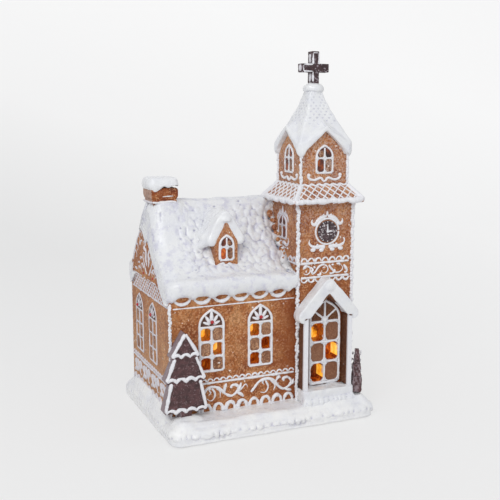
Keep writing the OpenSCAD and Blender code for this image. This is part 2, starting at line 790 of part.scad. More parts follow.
// Amber sheets glued inside the walls behind each window
module glazing_sheet() {
    translate([-window_w / 2, 0]) square([window_w, pane_rows * pane_rise + icing_w]);
}
module nave_glazing() color(amber) {
    for (x = front_window_xs) on_front(nave_y0 + wall_t + glazing_t) translate([x, window_foot_z])
        linear_extrude(glazing_t) glazing_sheet();
    for (y = gable_window_ys) on_left(nave_x0 + wall_t + glazing_t) translate([-y, gable_window_foot_z])
        linear_extrude(glazing_t) glazing_sheet();
    for (i = [1 : back_window_count]) on_back(nave_y1 - wall_t - glazing_t)
        translate([-nave_x0 - i * nave_w / (back_window_count + 1), window_foot_z])
        linear_extrude(glazing_t) glazing_sheet();
}

// Thicker lip of snow that hangs over the gable wall
module rake_lip() {
    along_x(nave_x0 - rake_overhang, nave_x0) polygon(concat(snow_face, reversed(rake_low)));
}
module nave_roof() color(snow) difference() {
    union() {
        along_x(nave_x0, nave_x1 + rake_overhang) snow_profile();
        rake_lip();
    }
    along_x(nave_x0 + wall_t, nave_x1 - wall_t) polygon(cavity_face);
    tower_block(0);
    // Light reaches the dormer through the roof
    translate([dormer_x0 + wall_t, dormer_y0 + wall_t, nave_eave_z])
        cube([dormer_w - 2 * wall_t, dormer_w / 2, dormer_eave_z - nave_eave_z]);
}

module large_window_icing(foot_z) {
    translate([0, foot_z]) linear_extrude(icing_t)
        large_window(window_w, window_h, window_spring_h, pane_rows, pane_rise, icing_w);
}
module front_window_icing() color(icing) for (x = front_window_xs)
    on_front(nave_y0) translate([x, 0]) large_window_icing(window_foot_z);
module gable_window_icing() color(icing) for (y = gable_window_ys)
    on_left(nave_x0) translate([-y, 0]) large_window_icing(gable_window_foot_z);
module back_window_icing() color(icing) for (i = [1 : back_window_count])
    on_back(nave_y1) translate([-nave_x0 - i * nave_w / (back_window_count + 1), 0])
        large_window_icing(window_foot_z);

// Rings under the eave with the thin line below them
module swag_row(u0, u1) {
    count = floor((u1 - u0) / swag_pitch);
    first = (u0 + u1) / 2 - (count - 1) * swag_pitch / 2;
    linear_extrude(icing_t) {
        for (i = [0 : count - 1]) translate([first + i * swag_pitch, nave_eave_z - seat_gap]) intersection() {
            half_ring(swag_r, icing_w * 1.2, false);
            translate([-swag_r, -swag_r]) square([2 * swag_r, swag_r]);
        }
        piped_line(u0, u1, eave_line_z, icing_w * 0.7);
    }
}
module eave_swags() color(icing) {
    on_front(nave_y0) swag_row(nave_x0 + bead_w / 2, tower_x0 - seat_gap);
    on_back(nave_y1) swag_row(-nave_x1 + bead_w / 2, -nave_x0 - bead_w / 2);
}

module sill_row(u0, u1) linear_extrude(icing_t) {
    piped_line(u0, u1, sill_z, icing_w);
    translate([0, sill_z + icing_w * 0.3])
        arc_row(u0, u1, scallop_pitch, scallop_h, icing_w * 0.55, true);
}
module sill_scallops() color(icing) {
    on_front(nave_y0) sill_row(nave_x0 + bead_w / 2, tower_x0 - seat_gap);
    on_left(nave_x0) sill_row(-nave_y1 + bead_w / 2, -nave_y0 - bead_w / 2);
    on_back(nave_y1) sill_row(-nave_x1 + bead_w / 2, -nave_x0 - bead_w / 2);
}

module horseshoe_row(u0, u1, v) linear_extrude(icing_t) {
    count = floor((u1 - u0) / horseshoe_pitch);
    first = (u0 + u1) / 2 - (count - 1) * horseshoe_pitch / 2;
    r = horseshoe_pitch / 2 - seat_gap;
    for (i = [0 : count - 1]) translate([first + i * horseshoe_pitch, v]) {
        translate([0, horseshoe_h - r]) half_ring(r, icing_w * 1.3);
        for (s = [-1, 1]) translate([s * (r - icing_w * 0.65) - icing_w * 0.65, 0])
            square([icing_w * 1.3, horseshoe_h - r + seat_gap]);
    }
}
module foot_scallops() color(icing) {
    on_front(nave_y0) horseshoe_row(nave_x0 + bead_w / 2, tower_x0 - seat_gap, ground_z);
    on_back(nave_y1) horseshoe_row(-nave_x1 + bead_w / 2, -nave_x0 - bead_w / 2, ground_z);
}

// Vine under the sill: one motif of wavy stem, hanging spirals and leaves, in shares of the band's height
vine_shares = [
    [0.6, 0.5, [[0, 0.52], [0.23, 0.79], [0.51, 0.89], [0.93, 0.77], [1.35, 0.38], [1.73, 0.21], [2.05, 0.4],
                [2.14, 0.64], [1.98, 0.83], [1.75, 0.8], [1.69, 0.62]]],
    [0.7, 0.4, [[0.5, 0.88], [0.68, 0.53], [0.65, 0.2], [0.44, 0.09], [0.22, 0.25]]],
    [0.5, 0.4, [[0.42, 0.84], [0.4, 0.7], [0.46, 0.55], [0.31, 0.4]]],
    [0.6, 0.4, [[0.8, 0.8], [1.01, 0.55], [1.02, 0.15]]],
    [0.4, 0.8, [[1.3, 0.48], [1.34, 0.75], [1.43, 0.97]]],
    [0.5, 0.8, [[2.06, 0.4], [2.21, 0.65], [2.35, 0.93]]],
    [0.5, 0.4, [[2.06, 0.42], [2.38, 0.55], [2.6, 0.76], [2.73, 0.66], [2.71, 0.5]]],
    [0.5, 0.7, [[2.04, 0.38], [2.31, 0.24], [2.52, 0.05]]]];
vine_pitch_share = 2.93;
vine_end_share = 2.79;
module vine_row(u0, u1) linear_extrude(icing_t * 0.8) {
    band = vine_high_z - vine_low_z;
    count = ceil((u1 - u0) / (band * vine_pitch_share));
    intersection() {
        for (i = [0 : count - 1])
            translate([u1 - band * (vine_end_share + i * vine_pitch_share), vine_low_z])
                strokes(vine_shares, band, icing_w);
        translate([u0, vine_low_z - icing_w]) square([u1 - u0, band + 2 * icing_w]);
    }
}
module vine_scrolls() color(icing) {
    on_front(nave_y0) vine_row(nave_x0 + bead_w, tower_x0 - seat_gap);
    on_left(nave_x0) vine_row(-nave_y1 + bead_w, -nave_y0 - bead_w);
    on_back(nave_y1) vine_row(-nave_x1 + bead_w, -nave_x0 - bead_w);
}

// Diagonal lattice of thin bars inside an outline
module lattice(u0, u1, v0, v1, pitch, w) {
    run = (v1 - v0);
    count = ceil((u1 - u0 + run) / pitch);
    for (i = [0 : count], s = [-1, 1])
        translate([s > 0 ? u0 - run + i * pitch : u0 + i * pitch, v0])
            polygon([[0, 0], [w * 1.4, 0], [s * run + w * 1.4, run], [s * run, run]]);
}
lattice_pitch = 7.4;
module gable_band_outline(shrink) {
    low_in = bead_w / 2 + shrink;
    high_in = low_in + (lattice_high_z - lattice_low_z) * 0.65;
    polygon([[-nave_y1 + low_in, lattice_low_z], [-nave_y0 - low_in, lattice_low_z],
             [-nave_y0 - high_in, lattice_high_z], [-nave_y1 + high_in, lattice_high_z]]);
}
module gable_lattice() color(icing) difference() {
    on_left(nave_x0) linear_extrude(icing_t * 0.7) intersection() {
        gable_band_outline(wall_t);
        union() {
            lattice(-nave_y1, -nave_y0, lattice_low_z, lattice_high_z, lattice_pitch, thin_w * 0.7);
            piped_line(-nave_y1, -nave_y0, lattice_low_z + icing_w / 2, icing_w);
            piped_line(-nave_y1, -nave_y0, lattice_high_z - icing_w / 2, icing_w);
        }
    }
    rake_lip();
}

// Scrolls beside the middle line of the gable, in shares of its height over the lattice
gable_shares = [
    [0.9, 0.5, [[0.08, 0.1], [0.18, 0.2], [0.3, 0.34], [0.36, 0.46], [0.29, 0.55], [0.2, 0.49],
                [0.23, 0.41]]],
    [0.8, 0.5, [[0.3, 0.2], [0.42, 0.28], [0.53, 0.22], [0.5, 0.11], [0.42, 0.13]]],
    [0.8, 0.5, [[0.58, 0.15], [0.69, 0.18], [0.79, 0.11]]],
    [0.7, 0.5, [[0.07, 0.27], [0.11, 0.42], [0.09, 0.56], [0.14, 0.68]]],
    [0.6, 0.4, [[0.17, 0.6], [0.21, 0.66], [0.2, 0.73]]],
    [0.6, 0.4, [[0.42, 0.39], [0.49, 0.41], [0.56, 0.34]]]];
module gable_scrolls() color(icing) difference() {
    rise = nave_apex_z - lattice_high_z;
    on_left(nave_x0) linear_extrude(icing_t) {
        for (m = [0, 1]) translate([-ridge_y, lattice_high_z]) mirror([m, 0])
            strokes(gable_shares, rise, icing_w);
        translate([-ridge_y - icing_w / 2, lattice_high_z + icing_w / 2])
            square([icing_w, rise * 0.62]);
    }
    rake_lip();
}

// Berries piped on the windows, the gable and beside the clock
module berry() {
    intersection() {
        sphere(berry_r);
        translate([-berry_r, -berry_r, 0]) cube([2 * berry_r, 2 * berry_r, berry_r]);
    }
}
module icing_berries() color("firebrick") {
    head = pane_rows * pane_rise + pane_foot + icing_w * 1.7;
    for (x = front_window_xs) on_front(nave_y0 - icing_t) translate([x, window_foot_z + head, 0]) berry();
    for (y = gable_window_ys)
        on_left(nave_x0 - icing_t) translate([-y, gable_window_foot_z + head, 0]) berry();
    for (s = [-1, 1])
        on_left(nave_x0) translate([-ridge_y + s * nave_d * 0.12, lattice_high_z + berry_r * 2, 0]) berry();
}

module nave_corner_beads() color(icing) difference() {
    h = nave_eave_z - icing_t - ground_z;
    union() {
        translate([nave_x0 - icing_t, nave_y0 - icing_t, ground_z]) difference() {
            cube([bead_w / 2 + icing_t, bead_w / 2 + icing_t, h]);
            translate([0, 0, eave_line_z - ground_z]) cube([icing_t + bead_w, icing_t, h]);
        }
        translate([nave_x0 - icing_t, nave_y1 - bead_w / 2, ground_z])
            cube([bead_w / 2 + icing_t, bead_w / 2 + icing_t, h - icing_t]);
    }
    translate([nave_x0, nave_y0, 0]) cube([nave_w, nave_d, nave_apex_z]);
    rake_lip();
}

// Dormer
module dormer_outline(inset) {
    polygon([[dormer_x0 + inset, dormer_foot_z - overrun], [dormer_x0 + dormer_w - inset, dormer_foot_z - overrun],
             [dormer_x0 + dormer_w - inset, dormer_eave_z - inset / 2],
             [dormer_x0 + dormer_w / 2, dormer_apex_z - inset * 1.4],
             [dormer_x0 + inset, dormer_eave_z - inset / 2]]);
}
dormer_cx = dormer_x0 + dormer_w / 2;
dormer_window_z = dormer_foot_z + dormer_window_lift;
module dormer_walls() color(gingerbread) difference() {
    translate([0, dormer_y0 + dormer_roof_reach, 0]) rotate([90, 0, 0])
        linear_extrude(dormer_roof_reach) dormer_outline(0);
    roof_block();
    translate([0, dormer_y0 + dormer_roof_reach + overrun, 0]) rotate([90, 0, 0])
        linear_extrude(dormer_roof_reach + overrun - wall_t) dormer_outline(wall_t / 2);
    on_front(dormer_y0 + wall_t + overrun) translate([dormer_cx, dormer_window_z])
        linear_extrude(wall_t + 2 * overrun) small_lit_pane(dormer_window_w, dormer_window_h);
}

module dormer_snow_outline() {
    r = dormer_snow_t * 0.62;
    translate([dormer_cx, 0])
        polygon(chevron(dormer_w / 2 + dormer_snow_over * 0.4, dormer_eave_z + r * 0.5,
                        dormer_apex_z + r * 1.5, r));
}
module dormer_roof() color(snow) difference() {
    translate([0, dormer_y0 + dormer_roof_reach, 0]) rotate([90, 0, 0])
        linear_extrude(dormer_roof_reach + dormer_snow_over * 0.6) dormer_snow_outline();
    translate([0, dormer_y0 + dormer_roof_reach + overrun, 0]) rotate([90, 0, 0])
        linear_extrude(dormer_roof_reach + 2 * overrun + dormer_snow_over) dormer_outline(0);
    roof_block();
}

module dormer_window_icing() color(icing) on_front(dormer_y0) translate([dormer_cx, dormer_window_z])
    linear_extrude(icing_t * 0.8) small_window(dormer_window_w, dormer_window_h);

// Chimney
module chimney_course(grow, z0, z1) {
    translate([chimney_x0 - grow, ridge_y - chimney_d / 2 - grow, z0])
        cube([chimney_w + 2 * grow, chimney_d + 2 * grow, z1 - z0]);
}
module chimney_stack() color(gingerbread) difference() {
    union() {
        chimney_course(0, chimney_foot_z, chimney_line_z);
        chimney_course(chimney_flare / 2, chimney_line_z, chimney_line_z + chimney_line_t);
        hull() {
            chimney_course(0, chimney_line_z + chimney_line_t, chimney_top_z);
            chimney_course(chimney_flare, chimney_top_z - 2 * chimney_line_t, chimney_top_z - chimney_line_t);
        }
    }
    roof_block();
}
module chimney_cap_layer(inset, z, h) {
    translate([chimney_x0 + chimney_w / 2, ridge_y, z]) linear_extrude(h)
        rounded_rect(chimney_w + 2 * (chimney_cap_over - inset), chimney_d + 2 * (chimney_cap_over - inset),
            chimney_cap_r - inset / 2);
}
module chimney_snow() color(snow) difference() {
    hull() {
        chimney_cap_layer(chimney_cap_over * 0.35, chimney_top_z - chimney_line_t, chimney_line_t);
        chimney_cap_layer(0, chimney_top_z + chimney_line_t * 0.4, chimney_line_t);
        chimney_cap_layer(chimney_cap_over * 0.3, chimney_snow_top_z - chimney_line_t, chimney_line_t * 0.4);
        chimney_cap_layer(chimney_cap_over, chimney_snow_top_z - chimney_line_t, chimney_line_t);
    }
    chimney_course(chimney_flare, chimney_foot_z, chimney_top_z);
}

// Tower
module tower_walls() color(gingerbread) difference() {
    translate([0, 0, ground_z]) linear_extrude(tower_top_z - ground_z) tower_plan(0);
    translate([0, 0, ground_z - overrun])
        linear_extrude(tower_top_z - ground_z + 2 * overrun) tower_plan(wall_t);
    // Doorway
    on_front(tower_y0 + wall_t + overrun) translate([door_x, door_foot_z])
        linear_extrude(wall_t + 2 * overrun)
        pointed_arch(door_w - 2 * door_bar, door_apex_z - door_foot_z - door_bar,
                     door_spring_z - door_foot_z);
}

module corner_bead_at(half, z0, z1) {
    for (k = [0 : 3]) translate([tower_cx, tower_cy, z0]) rotate([0, 0, 90 * k]) translate([-half, -half, 0])
        difference() {
            translate([-icing_t / 2, -icing_t / 2, 0]) cube([bead_w, bead_w, z1 - z0]);
            translate([0, 0, -overrun]) cube([2 * bead_w, 2 * bead_w, z1 - z0 + 2 * overrun]);
        }
}
module tower_corner_beads() color(icing) difference() {
    union() {
        corner_bead_at(tower_half, ground_z, tower_top_z - icing_t);
        corner_bead_at(belfry_half, belfry_foot_z + icing_w, belfry_eave_z - bead_w);
    }
    nave_clear_of_beads();
    porch_block();
}
// Space of the nave, its roof and its icing, which the tower's icing keeps out of
module nave_clear_of_beads() {
    difference() {
        roof_block();
        tower_block(0);
    }
    translate([nave_x0, nave_y0 - icing_t, 0]) cube([nave_w, nave_d + icing_t, nave_eave_z]);
}

module tower_band(half) {
    linear_extrude(icing_t * 0.8) {
        inner = half - bead_w;
        piped_line(-inner, inner, tower_band_high_z, icing_w * 0.8);
        piped_line(-inner, inner, tower_band_low_z, icing_w * 0.8);
        pitch = 2 * inner / tower_arc_count;
        for (up = [true, false]) translate([0, up ? tower_band_high_z : tower_band_low_z])
            arc_row(-inner - seat_gap, inner + seat_gap, pitch, tower_swag_h, icing_w * 0.6, up);
    }
}
module tower_scallops() color(icing) difference() {
    for (k = [0 : 3]) on_tower_face(k, tower_half) tower_band(tower_half);
    nave_clear_of_beads();
    porch_block();
}

// Scrolls between the two lines, in shares of the gap between them
band_shares = [
    [0.8, 0.5, [[-1.6, 0.66], [-1.37, 0.8], [-1.16, 0.66], [-1.19, 0.37], [-1.46, 0.24], [-1.68, 0.37]]],
    [0.8, 0.5, [[-1.04, 0.25], [-0.78, 0.36], [-0.5, 0.7], [-0.17, 0.82], [0.13, 0.7], [0.2, 0.43], [0, 0.26],
                [-0.25, 0.36], [-0.22, 0.53]]],
    [0.8, 0.5, [[0.3, 0.78], [0.54, 0.47], [0.84, 0.25], [1.18, 0.28], [1.38, 0.49], [1.24, 0.72],
                [1.03, 0.65]]],
    [0.7, 0.4, [[1.44, 0.76], [1.6, 0.52], [1.72, 0.28]]]];
// Leaf scrolls under and beside the clock, in shares of its radius
clock_scroll_shares = [
    [1.2, 0.6, [[-0.05, -1.27], [0.39, -1.22], [0.75, -1.16], [1.05, -1.19], [1.29, -1.12], [1.52, -0.93],
                [1.47, -0.72], [1.3, -0.74]]],
    [0.7, 0.4, [[0.2, -1.44], [0.53, -1.5], [0.8, -1.44]]],
    [0.7, 0.4, [[1.05, -1.4], [1.34, -1.43], [1.6, -1.24]]],
    [0.6, 0.4, [[0.83, -1.0], [1.05, -0.85], [1.04, -0.63]]],
    [0.8, 0.4, [[0.93, 0.8], [1.08, 0.58], [1.27, 0.68], [1.27, 0.93], [1.12, 1.02]]]];
crown_share = 1.21;
crown_tip_share = 1.66;
module clock_scrolls() {
    for (m = [0, 1]) mirror([m, 0]) strokes(clock_scroll_shares, clock_r, icing_w);
    stroke(arc_points([0, 0], clock_r * crown_share, 38, 142), icing_w * 0.85, icing_w * 0.85);
    flames(clock_r * crown_share, clock_r * crown_tip_share, icing_w);
}
module tower_scrolls() color(icing) {
    for (k = [0, 1]) on_tower_face(k, tower_half) translate([0, tower_band_low_z])
        linear_extrude(icing_t * 0.7) strokes(band_shares, tower_band_high_z - tower_band_low_z, icing_w);
    on_front(tower_y0) translate([clock_x, clock_z]) linear_extrude(icing_t) clock_scrolls();
}

module tower_window_icing() color(icing) difference() {
    for (k = [1, 3])
        on_tower_face(k, tower_half) translate([(2 - k) * tower_window_back, 0])
        linear_extrude(icing_t * 0.8) {
            translate([0, tower_window_foot_z]) small_window(tower_window_w, tower_window_h);
            translate([0, tower_window_foot_z - 2.6 * icing_w])
                scroll_pair(tower_window_w * 1.1, icing_w * 1.4, icing_w * 0.6);
            translate([0, tower_window_foot_z + tower_window_h * small_spring_share])
                flames(tower_window_w * 0.62, tower_window_w * 0.8, icing_w * 0.8);
        }
    nave_clear_of_beads();
}

module clock_dial() color(chocolate) on_front(tower_y0) translate([clock_x, clock_z])
    linear_extrude(dial_t) circle(clock_r - clock_rim_w - seat_gap);

// Rim with twelve plain hour dots inside it
module clock_rim() color(icing) on_front(tower_y0) translate([clock_x, clock_z]) {
    linear_extrude(clock_rim_t) difference() {
        circle(clock_r);
        circle(clock_r - clock_rim_w);
    }
    for (i = [0 : 11]) rotate([0, 0, 30 * i]) translate([clock_r - 2.1 * clock_rim_w, 0, dial_t])
        cylinder(r = hand_w * 0.45, h = hand_t);
}
module clock_hands() color(icing) on_front(tower_y0 - dial_t) translate([clock_x, clock_z])
    linear_extrude(hand_t) {
    circle(hand_w);
    translate([-hand_w / 2, 0]) square([hand_w, clock_r * 0.6]);
    translate([0, -hand_w / 2]) square([clock_r * 0.48, hand_w]);
}

// Skirt roof between tower and belfry
module square_frustum(half0, half1, z0, z1) {
    translate([tower_cx, tower_cy, z0]) rotate([0, 0, 45])
        cylinder(r1 = half0 * sqrt(2), r2 = half1 * sqrt(2), h = z1 - z0, $fn = 4);
}
skirt_rim_h = 3;
module skirt_roof() color(gingerbread) {
    square_frustum(skirt_half, belfry_half, tower_top_z + skirt_rim_h, belfry_foot_z);
    translate([tower_cx - skirt_half, tower_cy - skirt_half, tower_top_z])
        cube([2 * skirt_half, 2 * skirt_half, skirt_rim_h]);
}
// Icing rim that drips below the skirt's edge
skirt_drip = 2.6;
module skirt_icing() color(icing) difference() {
    translate([0, 0, tower_top_z - skirt_drip]) linear_extrude(skirt_rim_h + skirt_drip + icing_t)
        translate([tower_cx, tower_cy])
            rounded_rect(2 * (skirt_half + icing_t), 2 * (skirt_half + icing_t), 2 * icing_t);
    skirt_roof();
    translate([0, 0, tower_top_z - overrun - skirt_drip]) linear_extrude(skirt_drip + overrun)
        translate([tower_cx, tower_cy]) square(2 * (skirt_half - icing_t), center = true);
    translate([0, 0, tower_top_z]) linear_extrude(skirt_rim_h + skirt_drip + overrun)
        translate([tower_cx, tower_cy]) square(2 * (skirt_half - icing_t), center = true);
    roof_block();
}
// Diamond lattice lying on each of the four slopes
skirt_rise = belfry_foot_z - tower_top_z - skirt_rim_h;
skirt_run = skirt_half - belfry_half;
skirt_slant = sqrt(pow(skirt_rise, 2) + pow(skirt_run, 2));
skirt_lattice_pitch = 8.2;
module skirt_panel() {
    low = skirt_half - icing_t * 1.6;
    start = icing_t * 1.9;
    end = skirt_slant;
    function half_at(v) = skirt_half - skirt_run * v / skirt_slant - icing_w * 0.3;
    linear_extrude(icing_t * 0.55) {
        intersection() {
            polygon([[-half_at(start), start], [half_at(start), start],
                     [half_at(end), end], [-half_at(end), end]]);
            union() {
                lattice(-low, low, start, end, skirt_lattice_pitch, thin_w * 0.6);
                piped_line(-low, low, end - icing_w * 0.4, icing_w * 0.8);
                for (s = [-1, 1])
                    stroke([[s * half_at(start), start], [s * half_at(end), end]], icing_w, icing_w);
            }
        }
    }
}
module skirt_lattice() color(icing) for (k = [0 : 3])
    translate([tower_cx, tower_cy, tower_top_z + skirt_rim_h]) rotate([0, 0, 90 * k])
        translate([0, -skirt_half, 0]) rotate([atan2(skirt_rise, skirt_run), 0, 0]) skirt_panel();

// Belfry with a gable on each side
module belfry_gable(half, eave_z, apex_z, foot_z, reach) {
    for (k = [0, 1]) translate([tower_cx, tower_cy, 0]) rotate([0, 0, 90 * k]) translate([0, reach, 0])
        rotate([90, 0, 0]) linear_extrude(2 * reach)
        polygon([[-half, foot_z], [half, foot_z], [half, eave_z], [0, apex_z], [-half, eave_z]]);
}
module belfry_walls() color(gingerbread) difference() {
    belfry_gable(belfry_half, belfry_eave_z, belfry_apex_z, belfry_foot_z, belfry_half);
    translate([tower_cx - belfry_half + wall_t, tower_cy - belfry_half + wall_t, belfry_foot_z - overrun])
        cube([belfry_w - 2 * wall_t, belfry_w - 2 * wall_t,
              belfry_eave_z - belfry_foot_z - wall_t + overrun]);
    for (k = [0 : 3]) on_tower_face(k, belfry_half - wall_t / 2) translate([0, belfry_window_foot_z])
        linear_extrude(wall_t / 2 + overrun) small_lit_pane(belfry_window_w, belfry_window_h);
}
module belfry_window_icing() color(icing) for (k = [0 : 3])
    on_tower_face(k, belfry_half) translate([0, belfry_window_foot_z])
        linear_extrude(icing_t * 0.8) small_window(belfry_window_w, belfry_window_h);
// Moustache under each belfry window, in shares of half the belfry's width
moustache_shares = [
    [1.3, 0.8, [[-0.04, 0.15], [0.17, 0.22], [0.4, 0.18], [0.58, 0.2], [0.69, 0.29], [0.68, 0.39]]],
    [0.7, 0.3, [[0.56, 0.3], [0.6, 0.5], [0.55, 0.72]]]];
module belfry_scrolls() color(icing) for (k = [0 : 3])
    on_tower_face(k, belfry_half) translate([0, belfry_foot_z]) linear_extrude(icing_t * 0.8)
        for (m = [0, 1]) mirror([m, 0]) strokes(moustache_shares, belfry_half, icing_w);

// Spire of snow: crossed gables under a hollow curved pyramid
spire_half = belfry_half + spire_overhang;
spire_foot_z = belfry_apex_z - belfry_slope * spire_half;
spire_share = [[1.02, 0.0], [0.92, 0.14], [0.66, 0.42], [0.43, 0.68], [0.3, 0.87], [0.24, 1.0]];
function spire_profile(z0, z1) = concat([[0, z0]], [
    for (p = spire_share) [spire_half * sqrt(2) * p[0], z0 + (z1 - z0) * p[1]]
], [[0, z1]]);
module spire_roof() color(snow) difference() {
    union() {
        intersection() {
            belfry_gable(spire_half, belfry_eave_z + spire_snow_t * 0.4, belfry_apex_z + spire_snow_t,
                spire_foot_z, spire_half);
            translate([tower_cx, tower_cy, 0]) linear_extrude(total_h)
                rounded_rect(2 * spire_half, 2 * spire_half, spire_overhang);
        }
        translate([tower_cx, tower_cy, 0]) rotate([0, 0, 45])
            rotate_extrude($fn = 4)
            polygon(spire_profile(belfry_eave_z + spire_snow_t * 0.5, cap_z + cap_seat));
    }
    belfry_gable(spire_half + overrun, spire_foot_z - belfry_slope * overrun, belfry_apex_z,
        spire_foot_z - spire_snow_t, spire_half + overrun);
}

cap_seat = 0.3 * cap_r;
module spire_cap() color(snow) translate([tower_cx, tower_cy, cap_z]) difference() {
    rotate_extrude() {
        translate([cap_r / 2, cap_r / 2]) circle(cap_r / 2);
        square([cap_r / 2, cap_r]);
    }
    translate([0, 0, -overrun]) linear_extrude(cap_seat + overrun)
        square(2 * spire_half * spire_share[len(spire_share) - 2][0], center = true);
}

cross_w = 6.8;
cross_t = 8.5;
cross_span = 26;
cross_h = total_h - cap_z - cap_r;
cross_arm_h = cross_h * 0.267;
cross_arm_z = total_h - cross_h * 0.651;
module spire_cross() color(chocolate) translate([tower_cx, tower_cy + cross_t / 2, 0]) rotate([90, 0, 0])
    linear_extrude(cross_t) {
        translate([-cross_w / 2, cap_z + cap_r]) square([cross_w, cross_h]);
        translate([-cross_span / 2, cross_arm_z]) square([cross_span, cross_arm_h]);
    }

// Porch
module porch_walls() color(gingerbread) {
    for (s = [-1, 1]) translate([porch_cx + s * (porch_w - porch_wall_t) / 2 - porch_wall_t / 2,
                                 porch_y0 + icing_t, step_z])
        cube([porch_wall_t, porch_depth - icing_t, porch_wall_top_z - step_z]);
}
module porch_pillars() color(icing) {
    for (s = [-1, 1]) translate([porch_cx + s * (porch_w - pillar_w) / 2 - pillar_w / 2, porch_y0, step_z])
        cube([pillar_w, icing_t, porch_wall_top_z - step_z]);
}
module porch_under() {
    polygon([[porch_cx - porch_w / 2, step_z], [porch_cx - porch_w / 2, porch_wall_top_z],
             [porch_cx - porch_w / 2 + porch_wall_t * 1.1, porch_wall_top_z], [porch_cx, porch_apex_z],
             [porch_cx + porch_w / 2 - porch_wall_t * 1.1, porch_wall_top_z],
             [porch_cx + porch_w / 2, porch_wall_top_z], [porch_cx + porch_w / 2, step_z]]);
}
module porch_snow_outline() {
    translate([porch_cx, 0])
        polygon(chevron(porch_w / 2, porch_wall_top_z + porch_snow_r * 0.2,
                        porch_apex_z + porch_snow_r * 1.35, porch_snow_r));
}
module porch_roof() color(snow) difference() {
    on_front(tower_y0) linear_extrude(porch_depth + icing_t) difference() {
        porch_snow_outline();
        porch_under();
    }
    on_front(tower_y0 + overrun) linear_extrude(door_t + seat_gap + overrun) door_outline(-seat_gap);
}
// Space of the porch, which the icing on the tower's front keeps out of
module porch_block() on_front(tower_y0 + overrun) linear_extrude(3 * overrun) {
    porch_snow_outline();
    porch_under();
    translate([porch_cx - porch_w / 2 - step_side, 0]) square([porch_w + 2 * step_side, step_z]);
}

module door_outline(inset) {
    translate([door_x, door_foot_z + inset])
        pointed_arch(door_w - 2 * inset, door_apex_z - door_foot_z - 2 * inset,
                     door_spring_z - door_foot_z - inset);
}
module door_panes(lit_only) {
    for (row = [0 : 2], col = [0, 1]) if (!lit_only || is_lit(row, col))
        translate([door_x + (col * 2 - 1) * (door_pane_w + door_bar) / 2,
                   door_foot_z + door_pane_foot + row * door_pane_rise])
            pane(door_pane_w, door_pane_h, pane_corner_r);
}
// Door leaf: icing frame, sash bars and the fanlight over three rows of panes
module door_frame() color(icing) on_front(tower_y0) linear_extrude(door_t) difference() {
    door_outline(0);
    door_panes(false);
    translate([door_x, door_spring_z - door_bar]) intersection() {
        pointed_arch(door_w - 3 * door_bar, door_apex_z - door_spring_z - door_bar, door_bar);
        difference() {
            translate([-door_w, 0]) square([2 * door_w, door_w]);
            for (a = [45, 90, 135]) rotate(a) translate([0, -thin_w / 2]) square([door_w, thin_w]);
            circle(door_bar);
        }
    }
}
module door_glazing() color(amber) on_front(tower_y0 + glazing_t)
    linear_extrude(glazing_t) door_outline(door_bar * 1.2);

module porch_step() color(snow) difference() {
    translate([0, 0, ground_z]) linear_extrude(step_z - ground_z) translate([porch_cx, tower_y0])
        rounded_rect(porch_w + 2 * step_side, 2 * step_front, step_corner_r);
    translate([tower_x0 - overrun, tower_y0, 0]) cube([tower_w + 2 * overrun, tower_w, total_h]);
}

// Three-tier tree cut from dough: half widths and heights as shares
tree_share = [[0.0, 1.0], [0.33, 0.72], [0.24, 0.69], [0.46, 0.45], [0.33, 0.42], [0.5, 0.1], [0.13, 0.1],
              [0.13, 0.0]];
function tree_side(w, h, s) = [for (p = tree_share) [s * p[0] * w, p[1] * h]];
module tree_outline(w, h) {
    polygon(concat(tree_side(w, h, 1), reversed(tree_side(w, h, -1))));
}
module tree_icing_outline(w, h) {
    for (i = [0 : tree_tiers - 1]) {
        top = tree_share[2 * i];
        low = tree_share[2 * i + 1];
        reach = low[0] * w - icing_w;
        foot = low[1] * h + icing_w / 2;
        for (s = [-1, 1])
            stroke([[s * top[0] * w, top[1] * h - icing_w], [s * reach, foot]], icing_w, icing_w);
        stroke([for (k = [0 : 2 * tree_peaks])
            [reach * (k / tree_peaks - 1), foot + (k % 2) * h * tree_peak_share]], icing_w, icing_w);
    }
}
module at_front_tree() translate([tree_x, tree_y, ground_z]) rotate([90, 0, 0]) children();
module at_side_tree() {
    translate([small_tree_x, small_tree_y, ground_z]) rotate([0, 0, small_tree_turn]) rotate([90, 0, 0]) children();
}
module front_tree() color(chocolate) at_front_tree()
    translate([0, 0, -tree_t / 2]) linear_extrude(tree_t) tree_outline(tree_w, tree_h);
module front_tree_icing() color(icing) at_front_tree()
    translate([0, 0, tree_t / 2]) linear_extrude(icing_t * 0.8) intersection() {
        tree_icing_outline(tree_w, tree_h);
        tree_outline(tree_w, tree_h);
    }
module side_tree() color(chocolate) at_side_tree()
    translate([0, 0, -small_tree_t / 2]) linear_extrude(small_tree_t) tree_outline(small_tree_w, small_tree_h);
module side_tree_icing() color(icing) at_side_tree()
    translate([0, 0, small_tree_t / 2]) linear_extrude(icing_t * 0.7) intersection() {
        tree_icing_outline(small_tree_w, small_tree_h);
        tree_outline(small_tree_w, small_tree_h);
    }

